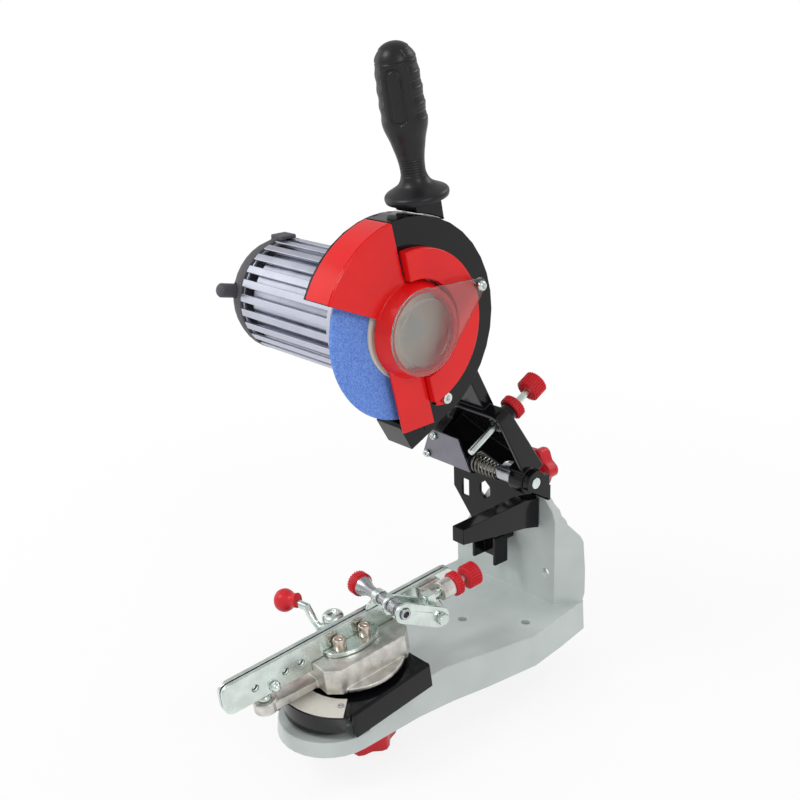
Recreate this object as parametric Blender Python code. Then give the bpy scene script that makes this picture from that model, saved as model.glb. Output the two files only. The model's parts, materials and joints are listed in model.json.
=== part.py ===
"""Electric chainsaw sharpener for a bench, built as its separate pieces.

Units are metres and +Z is up. The origin lies on the bench plane, under the middle of the
web that carries the upright, in the plane of the grinding wheel. +Y points to the back,
+X to the side where the wheel's clear cap is. Every moving group hangs on an empty that
stands on its joint's axis.
"""
import math

import bmesh
import bpy
from mathutils import Matrix, Vector

# Clearances
FIT = 0.0003
OVERRUN = 0.003
TINY = 0.0000001
LEVEL = 0.9999

# Casting that stands on the bench
BASE_REACH = 0.2625
BASE_BACK = 0.029
BASE_RIGHT = 0.0553
BASE_LEFT = 0.096
NOSE_Y = BASE_BACK - BASE_REACH
NOSE_R = 0.0422
NOSE_DRAFT = 0.0022
NOSE_H = 0.013
NOSE_END_Y = NOSE_Y + 0.0075
SHOULDER_H = 0.024
DECK_Y = NOSE_Y + 0.0735
DECK_H = 0.028
SHELL = 0.005
WEB = 0.006
BENCH_HOLE_R = 0.004
BENCH_BOSS_R = 0.008
BENCH_HOLES = ((0.0316, -0.0413), (-0.0105, -0.0766), (-0.072, -0.0413))
UPRIGHT_LEFT = -0.093
UPRIGHT_W = 0.123
UPRIGHT_H = 0.155
UPRIGHT_DEPTH = 0.0265
UPRIGHT_FLARE = 0.0135

# Vise, its tilt and its turn as they stand in the photograph
VISE_Y = NOSE_Y + 0.022
SEAT_H = 0.0277
CRADLE_R = 0.0603
CRADLE_T = 0.0117
VISE_Z = SEAT_H + CRADLE_R
VISE_TILT = math.radians(7.5)
VISE_TURN = math.radians(85.2)
BOLT_R = 0.004
JAW_L = 0.219
JAW_OUT = 0.116
JAW_H = 0.0255
JAW_T = 0.0035
JAW_GAP = 0.0016

# Head
TILT_X = -0.005
TILT_Z = 0.108
HINGE_Y = -0.0215
HINGE_Z = 0.1507
PIN_R = 0.005
REACH = 0.1975
REACH_ANGLE = math.radians(53.04)
WHEEL_R = 0.0725
WHEEL_T = 0.0048
WHEEL_X = 0.0004
GUARD_GAP = 0.0125
GUARD_R = WHEEL_R + GUARD_GAP
GUARD_BACK = -0.0228
GUARD_FRONT = 0.0057
SHEET = 0.0025
SHAFT_R = 0.006
MOTOR_R = 0.0478
MOTOR_END = -0.1526
SHAFT_TAIL = -0.0600
GRIP_R = 0.0246
GRIP_L = 0.1150
GRIP_RISE = 0.0111
GRIP_X = -0.009
ARM_LEFT = -0.0620
ARM_RIGHT = 0.0180
ARM_WALL = 0.004

# Depth screw
ROD_R = 0.003
ROD_SLOPE = math.radians(28.1)
ROD_X = 0.0075
ROD_SHARE = 0.3848
ROD_L = REACH * ROD_SHARE
KNOB_R = 0.0105
KNOB_EDGE = 0.0012
KNOB_GROOVE = 0.0008
BOSS_R = 0.0075
BOSS_NEAR_SHARE = 0.1671
BOSS_FAR_SHARE = 0.2658
BOSS_NEAR = REACH * BOSS_NEAR_SHARE
BOSS_FAR = REACH * BOSS_FAR_SHARE

# Turntable, scale and clamp of the vise
TABLE_R = 0.0410
TABLE_LOW = -0.0400
TABLE_TOP = -0.0360
POST_X = 0.0010
POST_Y = 0.0250
SCALE_R = 0.0640
SCALE_IN = 0.0430
SADDLE_TOP = -0.0443
CLAMP_R = 0.0240
CLAMP_EDGE = 0.0015

RED = (0.62, 0.02, 0.03)
BLACK = (0.012, 0.012, 0.014)
GREY_PAINT = (0.62, 0.63, 0.66)
ZINC = (0.66, 0.68, 0.70)
RAW_CAST = (0.60, 0.60, 0.59)
WHITE = (0.85, 0.84, 0.80)
STEEL = (0.55, 0.56, 0.58)

ALONG_X = Matrix(((0, 0, 1, 0), (1, 0, 0, 0), (0, 1, 0, 0), (0, 0, 0, 1)))
FACING = Matrix(((1, 0, 0, 0), (0, 0, -1, 0), (0, 1, 0, 0), (0, 0, 0, 1)))


def at(x=0.0, y=0.0, z=0.0):
    """A place, as a matrix."""
    return Matrix.Translation((x, y, z))


def clear_scene():
    for thing in list(bpy.data.objects):
        bpy.data.objects.remove(thing, do_unlink=True)


def mesh_of(bm, sharp=math.radians(35)):
    """Close a bmesh into a mesh with outward faces, smooth over its round stretches."""
    bmesh.ops.recalc_face_normals(bm, faces=bm.faces)
    mesh = bpy.data.meshes.new("form")
    bm.to_mesh(mesh)
    bm.free()
    mesh.shade_smooth()
    mesh.set_sharp_from_angle(angle=sharp)
    return mesh


def turned(profile, steps=32):
    """Revolve (radius, height) points about +Z; an open profile starts and ends on the axis."""
    bm = bmesh.new()
    verts = [bm.verts.new((radius, 0.0, height)) for radius, height in profile]
    edges = [bm.edges.new(pair) for pair in zip(verts, verts[1:])]
    if profile[0][0] > TINY:
        edges.append(bm.edges.new((verts[-1], verts[0])))
    bmesh.ops.spin(bm, geom=verts + edges, cent=(0, 0, 0), axis=(0, 0, 1),
                   angle=math.tau, steps=steps, use_merge=True)
    bmesh.ops.remove_doubles(bm, verts=bm.verts, dist=TINY)
    bm.normal_update()
    flat = [vert for vert in bm.verts if math.hypot(vert.co.x, vert.co.y) < TINY
            and all(abs(face.normal.z) > LEVEL for face in vert.link_faces)]
    bmesh.ops.dissolve_verts(bm, verts=flat)
    return mesh_of(bm)


def rod(radius, start, end, steps=20):
    """A plain round bar along +Z."""
    return prism(arc(0, 0, radius, 0, 360 - 360 / steps, steps - 1), start, end)


def pipe(outer, inner, start, end, steps=32):
    """A plain tube along +Z."""
    return turned(((outer, start), (outer, end), (inner, end), (inner, start)), steps)


def prism(outline, start, end):
    """Extrude an outline in XY along +Z."""
    bm = bmesh.new()
    face = bm.faces.new([bm.verts.new((x, y, start)) for x, y in outline])
    grown = bmesh.ops.extrude_face_region(bm, geom=[face])["geom"]
    moved = [item for item in grown if isinstance(item, bmesh.types.BMVert)]
    bmesh.ops.translate(bm, verts=moved, vec=(0.0, 0.0, end - start))
    return mesh_of(bm)


def block(x0, x1, y0, y1, z0, z1):
    """A box between two corners."""
    return prism(((x0, y0), (x1, y0), (x1, y1), (x0, y1)), z0, z1)


def loft(rings):
    """Skin rings of equal point counts and cap both ends."""
    bm = bmesh.new()
    loops = [[bm.verts.new(point) for point in ring] for ring in rings]
    for low, high in zip(loops, loops[1:]):
        for i in range(len(low)):
            j = (i + 1) % len(low)
            bm.faces.new((low[i], low[j], high[j]))
            bm.faces.new((low[i], high[j], high[i]))
    bm.faces.new(loops[0])
    bm.faces.new(loops[-1])
    return mesh_of(bm)


def arc(cx, cy, radius, first, last, steps):
    """Points on a circle between two angles in degrees."""
    angles = [math.radians(first + (last - first) * i / steps) for i in range(steps + 1)]
    return [(cx + radius * math.cos(a), cy + radius * math.sin(a)) for a in angles]


def rounded(corners, radius, steps=3):
    """Round every corner of an outline, never past a third of its shorter side."""
    result = []
    count = len(corners)
    for i, corner in enumerate(corners):
        here = Vector(corner)
        back = Vector(corners[i - 1]) - here
        ahead = Vector(corners[(i + 1) % count]) - here
        half = back.angle(ahead) / 2
        run = min(radius / math.tan(half), back.length / 3, ahead.length / 3)
        start = here + back.normalized() * run
        end = here + ahead.normalized() * run
        for k in range(steps + 1):
            t = k / steps
            point = start * (1 - t) ** 2 + here * (2 * t * (1 - t)) + end * t ** 2
            result.append((point.x, point.y))
    return result


def inset(outline, distance):
    """Move every side of a counter-clockwise outline inwards."""
    result = []
    count = len(outline)
    for i in range(count):
        here = Vector(outline[i])
        before = (here - Vector(outline[i - 1])).normalized()
        after = (Vector(outline[(i + 1) % count]) - here).normalized()
        left_before = Vector((-before.y, before.x))
        left_after = Vector((-after.y, after.x))
        way = (left_before + left_after).normalized()
        point = here + way * (distance / max(way.dot(left_after), 0.35))
        result.append((point.x, point.y))
    return result


def beyond(outline, limit, way=1):
    """Keep the part of an outline whose second coordinate is over a limit, or under it."""
    result = []
    for i, (x1, y1) in enumerate(outline):
        x0, y0 = outline[i - 1]
        if (y0 - limit) * (y1 - limit) < 0:
            share = (limit - y0) / (y1 - y0)
            result.append((x0 + (x1 - x0) * share, limit))
        if way * (y1 - limit) >= 0:
            result.append((x1, y1))
    return result


def scaled(shares, width, height, x0=0.0, y0=0.0):
    """Turn a table of shares into points."""
    return [(x0 + sx * width, y0 + sy * height) for sx, sy in shares]


def hexagon(across, start, end):
    """A hexagonal prism, by its width across flats."""
    radius = across / math.sqrt(3)
    return prism(arc(0, 0, radius, 0, 300, 5), start, end)


def fluted(radius, start, end, flutes, groove, edge):
    """A knob with grooves round its rim and both edges drawn in."""
    rim = []
    for i in range(2 * flutes):
        reach = radius - (i % 2) * groove
        rim.append((reach, math.tau * i / (2 * flutes)))
    rings = []
    for height, drawn in ((start, edge), (start + edge, 0.0), (end - edge, 0.0), (end, edge)):
        rings.append([((r - drawn) * math.cos(a), (r - drawn) * math.sin(a), height) for r, a in rim])
    return loft(rings)


def lobed(radius, start, end, lobes, waist, edge):
    """A star knob with round lobes."""
    rings = []
    points = 6 * lobes
    for height, drawn in ((start, edge), (start + edge, 0.0), (end - edge, 0.0), (end, edge)):
        ring = []
        for i in range(points):
            angle = math.tau * i / points
            reach = radius - drawn - waist * (1 - math.cos(lobes * angle)) / 2
            ring.append((reach * math.cos(angle), reach * math.sin(angle), height))
        rings.append(ring)
    return loft(rings)


def finish(name, colour, roughness, metallic):
    material = bpy.data.materials.new(name)
    material.use_nodes = True
    shader = material.node_tree.nodes["Principled BSDF"]
    shader.inputs["Base Color"].default_value = (*colour, 1.0)
    shader.inputs["Roughness"].default_value = roughness
    shader.inputs["Metallic"].default_value = metallic
    return material


def axis_empty(name, matrix, parent=None):
    """An empty on a joint's axis, which carries the pieces that move with it."""
    empty = bpy.data.objects.new(name, None)
    bpy.context.collection.objects.link(empty)
    hang(empty, matrix, parent)
    empty["rest"] = [value for row in matrix for value in row]
    return empty


def rest_of(empty):
    values = list(empty["rest"])
    return Matrix([values[i:i + 4] for i in range(0, 16, 4)])


def hang(thing, matrix, parent):
    """Place something in the world and hang it on its parent where it stands."""
    if parent is not None:
        thing.parent = parent
        thing.matrix_parent_inverse = rest_of(parent).inverted()
    thing.matrix_basis = matrix


def piece(name, form, colour, roughness, metallic, parent=None, matrix=Matrix()):
    """Make one named sub-part from a mesh or a curve."""
    thing = bpy.data.objects.new(name, form)
    bpy.context.collection.objects.link(thing)
    hang(thing, matrix, parent)
    form.materials.append(finish(name + "_finish", colour, roughness, metallic))
    return thing


def helper(form, parent, matrix):
    """A hidden form for a Boolean."""
    thing = bpy.data.objects.new("helper", form)
    bpy.context.collection.objects.link(thing)
    hang(thing, matrix, parent)
    thing.hide_render = True
    thing.display_type = "WIRE"
    return thing


def combine(thing, operation, form, matrix=None):
    """Join, cut or keep what a form shares with a piece."""
    tool = helper(form, thing.parent, thing.matrix_basis if matrix is None else matrix)
    step = thing.modifiers.new(operation.lower(), "BOOLEAN")
    step.operation = operation
    step.solver = "EXACT"
    step.object = tool
    return tool


def cut(thing, form, matrix=None):
    return combine(thing, "DIFFERENCE", form, matrix)


def join(thing, form, matrix=None):
    return combine(thing, "UNION", form, matrix)


def keep(thing, form, matrix=None):
    return combine(thing, "INTERSECT", form, matrix)


def wire(points, radius):
    """A round wire through points, closed at both ends."""
    curve = bpy.data.curves.new("wire", "CURVE")
    curve.dimensions = "3D"
    curve.bevel_depth = radius
    curve.bevel_resolution = 1
    curve.use_fill_caps = True
    curve.render_resolution_u = 0
    spline = curve.splines.new("POLY")
    spline.points.add(len(points) - 1)
    for slot, point in zip(spline.points, points):
        slot.co = (*point, 1.0)
    return curve


# Frames of the moving groups
HINGE = at(0, HINGE_Y, HINGE_Z)
WHEEL = at(0, HINGE_Y - REACH * math.cos(REACH_ANGLE), HINGE_Z + REACH * math.sin(REACH_ANGLE))
TILT = at(TILT_X, 0, TILT_Z)
SADDLE = at(0, VISE_Y, VISE_Z) @ Matrix.Rotation(VISE_TILT, 4, "X")
RAIL = SADDLE @ Matrix.Rotation(VISE_TURN, 4, "Z")

# Base casting

RIGHT_FOOT_SHARES = ((0.745, 0.222), (0.794, 0.353), (0.897, 0.488),
                     (1.0, 0.685), (0.928, 0.809), (0.790, 0.978))
LEFT_FOOT_SHARES = ((0.458, 0.333), (0.729, 0.562), (1.0, 0.752), (1.0, 0.924), (0.917, 1.0))
RIGHT_DECK_SHARES = ((0.680, 0.222), (0.630, 0.353), (0.778, 0.488),
                     (0.964, 0.685), (0.895, 0.809), (0.770, 0.975))
LEFT_DECK_SHARES = ((0.416, 0.333), (0.67, 0.562), (0.975, 0.752), (0.975, 0.924), (0.9, 0.992))
FRONT_SHARES = ((0.0, 0.15), (1.0, 0.15), (1.0, 0.71), (0.974, 0.765), (0.878, 0.845),
                (0.74, 0.985), (0.683, 1.0), (0.577, 1.0), (0.512, 0.942), (0.341, 0.748), (0.0, 0.368))
FLARE_SHARES = (0.0, 1.0, 1.0, 0.45, 0.0, 0.0, 0.0, 0.0, 0.0, 0.0, 0.0)
SIDE_SHARES = ((-0.2, 0.1), (0.82, 0.1), (1.0, 0.23), (1.0, 0.38), (0.93, 0.56), (0.82, 0.6),
               (0.42, 0.68), (0.33, 0.73), (0.30, 0.79), (0.30, 1.1), (-0.2, 1.1))


def base_plan(right_shares, left_shares, nose_radius):
    """Outline of the casting seen from above, counter-clockwise from the nose."""
    nose = arc(0, NOSE_Y, nose_radius, 180, 360, 16)
    right = [(sx * BASE_RIGHT, NOSE_Y + sy * BASE_REACH) for sx, sy in right_shares]
    left = [(-sx * BASE_LEFT, NOSE_Y + sy * BASE_REACH) for sx, sy in left_shares]
    return nose + right + left[::-1]


def build_base():
    foot = base_plan(RIGHT_FOOT_SHARES, LEFT_FOOT_SHARES, NOSE_R)
    deck = base_plan(RIGHT_DECK_SHARES, LEFT_DECK_SHARES, NOSE_R - NOSE_DRAFT)
    rings = [[(x, y, 0.0) for x, y in foot], [(x, y, DECK_H) for x, y in deck]]
    base = piece("base_casting", loft(rings), GREY_PAINT, 0.35, 0.0)
    side = 2 * BASE_LEFT
    cut(base, block(-side, side, NOSE_Y - side, NOSE_END_Y, NOSE_H, DECK_H + OVERRUN))
    cut(base, block(-side, side, NOSE_END_Y - OVERRUN, DECK_Y, SHOULDER_H, DECK_H + OVERRUN))
    hollow = inset(deck, SHELL)
    front = beyond(hollow, -WEB / 2, -1)
    nose_end = DECK_Y + SHELL
    cut(base, prism(beyond(front, nose_end + OVERRUN, -1), -OVERRUN, NOSE_H - SHELL))
    cut(base, prism(beyond(inset(front, FIT), nose_end), -OVERRUN, DECK_H - SHELL))
    cut(base, prism(beyond(hollow, WEB / 2), -OVERRUN, DECK_H - SHELL))
    build_upright(base)
    build_cradle(base)
    for x, y in BENCH_HOLES:
        join(base, rod(BENCH_BOSS_R, 0.0, DECK_H - SHELL / 2), at(x, y))
    for x, y in BENCH_HOLES:
        cut(base, rod(BENCH_HOLE_R, -OVERRUN, DECK_H + OVERRUN), at(x, y))


def build_upright(base):
    """The wall that carries the head: a box open at the back, flared at its lower right."""
    outline = scaled(FRONT_SHARES, UPRIGHT_W, UPRIGHT_H, UPRIGHT_LEFT)
    flare = [share * UPRIGHT_FLARE for share in FLARE_SHARES]
    front_y = -WEB / 2
    back_y = front_y + UPRIGHT_DEPTH
    rings = []
    for y, share in ((front_y, 0.0), (back_y, 1.0)):
        rings.append([(x + share * extra, y, z) for (x, z), extra in zip(outline, flare)])
    upright = join(base, loft(rings))
    keep(upright, prism(scaled(SIDE_SHARES, UPRIGHT_DEPTH, UPRIGHT_H, front_y), UPRIGHT_LEFT - OVERRUN,
                        UPRIGHT_LEFT + 2 * UPRIGHT_W), ALONG_X)
    inner = inset(outline, SHELL)
    floor = DECK_H
    rings = []
    for y, share in ((front_y + WEB, 0.1), (back_y + OVERRUN, 1.0)):
        rings.append([(x + share * extra, y, max(z, floor)) for (x, z), extra in zip(inner, flare)])
    cut(base, loft(rings))
    wall_hole_in = 0.0105
    wall_hole_x = UPRIGHT_LEFT + UPRIGHT_W - wall_hole_in
    wall_hole_z = 0.057
    wall_hole_r = 0.0038
    through = (-UPRIGHT_DEPTH, UPRIGHT_DEPTH)
    cut(base, rod(wall_hole_r, *through), at(wall_hole_x, 0, wall_hole_z) @ FACING)
    cut(base, rod(BOLT_R + FIT, *through), at(TILT_X, 0, TILT_Z) @ FACING)
    cut(base, rod(BOLT_R + FIT, *through), at(*lock_place()) @ FACING)


def lock_place():
    """Where the stud that locks the head's tilt stands."""
    stud_x = -0.013
    stud_z = 0.142
    return stud_x, 0.0, stud_z


def build_cradle(base):
    """The hollowed seat on which the vise rocks, slotted for its clamp bolt."""
    half_w = 0.026
    half_l = 0.024
    foot_l = 0.031
    foot_z = 0.020
    pocket_w = 0.0175
    pocket_l = 0.027
    slot_l = 0.0175
    seat = arc(VISE_Y, VISE_Z, CRADLE_R, 270 - math.degrees(math.asin(half_l / CRADLE_R)),
               270 + math.degrees(math.asin(half_l / CRADLE_R)), 10)
    low = NOSE_H - SHELL
    outline = [(VISE_Y - foot_l, foot_z), (VISE_Y - foot_l, low), (VISE_Y + foot_l, low),
               (VISE_Y + foot_l, foot_z)] + seat[::-1]
    join(base, prism(outline, -half_w, half_w), ALONG_X)
    roof_r = CRADLE_R + CRADLE_T
    roof = arc(VISE_Y, VISE_Z, roof_r, 270 - math.degrees(math.asin(pocket_l / roof_r)),
               270 + math.degrees(math.asin(pocket_l / roof_r)), 10)
    pocket = [(VISE_Y + pocket_l, -OVERRUN)] + roof[::-1] + [(VISE_Y - pocket_l, -OVERRUN)]
    cut(base, prism(pocket[::-1], -pocket_w, pocket_w), ALONG_X)
    gap = BOLT_R + FIT
    cut(base, block(-gap, gap, VISE_Y - slot_l, VISE_Y + slot_l, 0.0, 2 * DECK_H))


# Tilt bracket and its lock

PLATE_SHARES = ((0.0, 1.0), (0.0, 0.45), (0.217, 0.0), (0.53, 0.0), (0.53, 0.30), (0.86, 0.30),
                (0.86, 0.78), (1.0, 0.78), (1.0, 1.0))
STEEL_T = 0.003


def build_bracket(tilt_axis):
    steel = STEEL_T
    back_y = -WEB / 2 - FIT
    plate_left = -0.093
    plate_w = 0.118
    plate_low = 0.0800
    plate_h = 0.0640
    outline = scaled(PLATE_SHARES, plate_w, plate_h, plate_left, plate_low)
    bracket = piece("tilt_bracket", prism(outline, -back_y, -back_y + steel), BLACK, 0.2, 0.0,
                    tilt_axis, FACING)
    ear_r = 0.011
    right_ear = 0.0190
    left_ear = -0.0700
    ear_t = 0.006
    ear_root = 0.1310
    plate_y = back_y - steel / 2
    nose = arc(HINGE_Y, HINGE_Z, ear_r, 200, 20, 12)
    ear = [(plate_y, ear_root)] + nose + [(plate_y, HINGE_Z + ear_r / 3)]
    for start in (right_ear, left_ear):
        join(bracket, prism(ear, start, start + ear_t), ALONG_X)
        cut(bracket, rod(PIN_R + FIT, start - OVERRUN, start + ear_t + OVERRUN), HINGE @ ALONG_X)
    build_stop_arm(bracket, steel, back_y)
    build_channel(bracket, steel, back_y)
    window_x = -0.082
    window_w = 0.009
    window_z = 0.102
    window_h = 0.017
    window = block(window_x, window_x + window_w, back_y - 2 * steel, back_y + steel,
                   window_z, window_z + window_h)
    cut(bracket, window, Matrix())
    port_x = -0.052
    port_z = 0.116
    port_w = 0.013
    port_h = 0.018
    port_shares = ((0.5, 0.0), (1.0, 0.28), (1.0, 0.72), (0.5, 1.0), (0.0, 0.72), (0.0, 0.28))
    port = scaled(port_shares, port_w, port_h, port_x - port_w / 2, port_z - port_h / 2)
    cut(bracket, prism(port, -back_y - steel, -back_y + 2 * steel), FACING)
    build_lock_slot(bracket, steel, back_y)


def build_lock_slot(bracket, steel, back_y):
    """The arc that the lock stud rides in, and the hole for the tilt bolt."""
    stud_x, _, stud_z = lock_place()
    radius = math.hypot(stud_x - TILT_X, stud_z - TILT_Z)
    first = math.degrees(math.atan2(stud_z - TILT_Z, stud_x - TILT_X))
    swing = 31
    half = BOLT_R + FIT
    outer = arc(TILT_X, TILT_Z, radius + half, first - swing, first + 1, 12)
    inner = arc(TILT_X, TILT_Z, radius - half, first + 1, first - swing, 12)
    depth = (-back_y - steel, -back_y + 2 * steel)
    cut(bracket, prism(outer + inner, *depth), FACING)
    cut(bracket, rod(half, *depth), at(stud_x, 0, stud_z) @ FACING)
    last = math.radians(first - swing)
    cut(bracket, rod(half, *depth),
        at(TILT_X + radius * math.cos(last), 0, TILT_Z + radius * math.sin(last)) @ FACING)
    cut(bracket, rod(half, *depth), at(TILT_X, 0, TILT_Z) @ FACING)


def build_stop_arm(bracket, steel, back_y):
    """The folded arm that the depth screw comes down on."""
    width = 0.013
    tip_y = -0.097
    tip_z = 0.115
    top_z = 0.1285
    rise = 0.0025
    fold_y = -0.023
    fold_z = 0.1045
    panel_low = 0.100
    panel_top = 0.128
    outline = [(tip_y, tip_z), (fold_y, fold_z), (back_y - steel / 2, panel_low),
               (back_y - steel / 2, panel_top), (fold_y, top_z + rise), (tip_y, top_z)]
    join(bracket, prism(outline, 0.0, width), ALONG_X)
    inner = [(tip_y + steel, tip_z - 2 * steel), (fold_y, fold_z - 2 * steel),
             (back_y - steel, panel_low - 2 * steel), (back_y - steel, panel_top - steel),
             (fold_y, top_z + rise - steel), (tip_y + steel, top_z - steel)]
    cut(bracket, prism(inner, -steel, width - steel), ALONG_X)


def build_channel(bracket, steel, back_y):
    """The folded channel under the plate."""
    left = -0.043
    right = -0.014
    low = 0.0615
    high = 0.088
    web_y = -0.016
    flange_y = -0.032
    outline = [(left, web_y), (left, flange_y), (left + steel, flange_y), (left + steel, web_y - steel),
               (right - steel, web_y - steel), (right - steel, flange_y), (right, flange_y), (right, web_y)]
    join(bracket, prism(outline, low, high), Matrix())
    neck_low = 0.0810
    join(bracket, block(left + steel, right - steel, web_y - steel / 2, back_y - steel / 2, neck_low, high - FIT),
         Matrix())


def build_tilt_lock(tilt_axis, lock_axis):
    stud_x, _, stud_z = lock_place()
    face = WEB / 2 + 2 * FIT + STEEL_T
    head_t = 0.003
    head_r = 0.0075
    reach = UPRIGHT_DEPTH - SHELL / 2
    stud = ((0.0, -reach), (BOLT_R, -reach), (BOLT_R, face), (head_r, face),
            (head_r, face + head_t / 2), (head_r / 2, face + head_t), (0.0, face + head_t))
    piece("tilt_lock_stud", turned(stud, 20), STEEL, 0.3, 1.0, None, at(stud_x, 0, stud_z) @ FACING)
    bolt_back = WEB / 2 + 2 * STEEL_T
    pivot = ((0.0, -bolt_back), (BOLT_R, -bolt_back), (BOLT_R, face), (head_r, face),
             (head_r, face + head_t), (0.0, face + head_t))
    piece("tilt_pivot_bolt", turned(pivot, 20), STEEL, 0.3, 1.0, None, at(TILT_X, 0, TILT_Z) @ FACING)
    knob_r = 0.020
    knob_near = WEB / 2 + 4 * STEEL_T
    knob_far = BASE_BACK
    waist = 0.005
    sleeve_r = 0.007
    knob = piece("tilt_lock_knob", lobed(knob_r, -knob_far, -knob_near, 5, waist, CLAMP_EDGE), RED, 0.4, 0.0,
                 lock_axis, at(stud_x, 0, stud_z) @ FACING)
    join(knob, rod(sleeve_r, -knob_near - FIT, -WEB / 2 - FIT))
    cut(knob, rod(BOLT_R + FIT, -knob_far - OVERRUN, OVERRUN))


def build_hinge(tilt_axis):
    """The pin of the head with its sleeve and the spring that lifts the head."""
    pin_left = -0.0735
    pin_right = 0.0250
    cap_r = 0.0075
    cap_t = 0.0025
    left_face = -0.0703
    pin = ((0.0, pin_left - cap_t), (cap_r, pin_left - cap_t), (cap_r, left_face), (PIN_R, left_face),
           (PIN_R, pin_right), (0.0, pin_right))
    piece("hinge_pin", turned(pin, 20), STEEL, 0.25, 1.0, tilt_axis, HINGE @ ALONG_X)
    sleeve_left = -0.0150
    sleeve_right = 0.0022
    sleeve_r = 0.0080
    piece("spring_sleeve", pipe(sleeve_r, PIN_R + FIT, sleeve_left, sleeve_right, 24), STEEL, 0.3, 1.0,
          tilt_axis, HINGE @ ALONG_X)
    coil_left = -0.0450
    coil_right = -0.0170
    coil_r = 0.0089
    wire_r = 0.00105
    turns = 6.5
    per_turn = 8
    leg = 0.005
    points = []
    count = round(turns * per_turn)
    for i in range(count + 1):
        angle = math.tau * i / per_turn
        along = coil_left + (coil_right - coil_left) * i / count
        points.append(Vector((along, coil_r * math.cos(angle), coil_r * math.sin(angle))))
    plate_face = -WEB / 2 - FIT - STEEL_T - HINGE_Y
    first = Vector((coil_left, plate_face - wire_r - FIT, -2.4 * leg))
    last = points[-1] + Vector((0.0, 0.0, leg))
    points = [first] + points + [last]
    piece("return_spring", wire(points, wire_r), STEEL, 0.35, 1.0, tilt_axis, HINGE)


# Arm and depth screw

TRAY_SIDE_SHARES = ((0.160, 0.066), (0.223, 0.066), (0.236, 0.004), (0.257, -0.177), (0.273, -0.320),
                    (0.175, -0.328), (0.160, -0.263))
WEB_SIDE_SHARES = ((0.0, 0.12), (0.208, 0.12), (0.220, 0.004), (0.241, -0.177), (0.255, -0.42), (0.0, -0.42))
TOP_SHARE = 0.066
SHOULDER_SHARE = 0.028
LIP_SHARES = ((-0.177, 0.066), (-0.273, -0.045))
OPEN_SHARES = ((-0.147, -0.222), (-0.020, -0.304))
FOOT_SHARE = -0.328
BOX_SHARES = ((-0.195, 0.056), (-0.195, 0.190), (-0.115, 0.300), (0.0, 0.265), (0.0, 0.120))
NECK_SHARES = ((0.180, 0.040), (0.238, 0.040))
HINGE_SHARES = (0.1752, -0.3276)


def rod_matrix():
    """The depth screw's axis: +Z along the screw, from its tip to its knob."""
    out, down = HINGE_SHARES
    run = Vector((math.cos(ROD_SLOPE), math.sin(ROD_SLOPE)))
    rise = Vector((-run.y, run.x))
    tip = Vector((HINGE_Y, HINGE_Z)) - (run * out + rise * down) * REACH
    turn = Matrix.Rotation(-(math.pi / 2 - ROD_SLOPE), 4, "X")
    return at(ROD_X, tip.x, tip.y) @ turn


def side_frame():
    """The depth screw's side view: +X along the screw, +Y across it, extruded along the world's X."""
    turn = Matrix(((0, 0, 1, 0), (0, -1, 0, 0), (1, 0, 0, 0), (0, 0, 0, 1)))
    return rod_matrix() @ at(-ROD_X) @ turn


def front_frame():
    """The depth screw's front view: the world's X, and +Y across the screw, extruded along it."""
    return rod_matrix() @ at(-ROD_X) @ Matrix.Diagonal((1, -1, 1, 1))


def front_view(right, top, shoulder, lips, left, low):
    """Outline of the tray seen along the depth screw, clockwise from its lower right."""
    corner = [(right, low), (right, shoulder)]
    round_corner = [(right - (top - shoulder) * 0.3, top - (top - shoulder) * 0.3)]
    flank = [(left, 2 * lips[1][1] - lips[0][1]), (left, low)]
    return corner + round_corner + [(right - (top - shoulder), top)] + lips + flank


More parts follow.
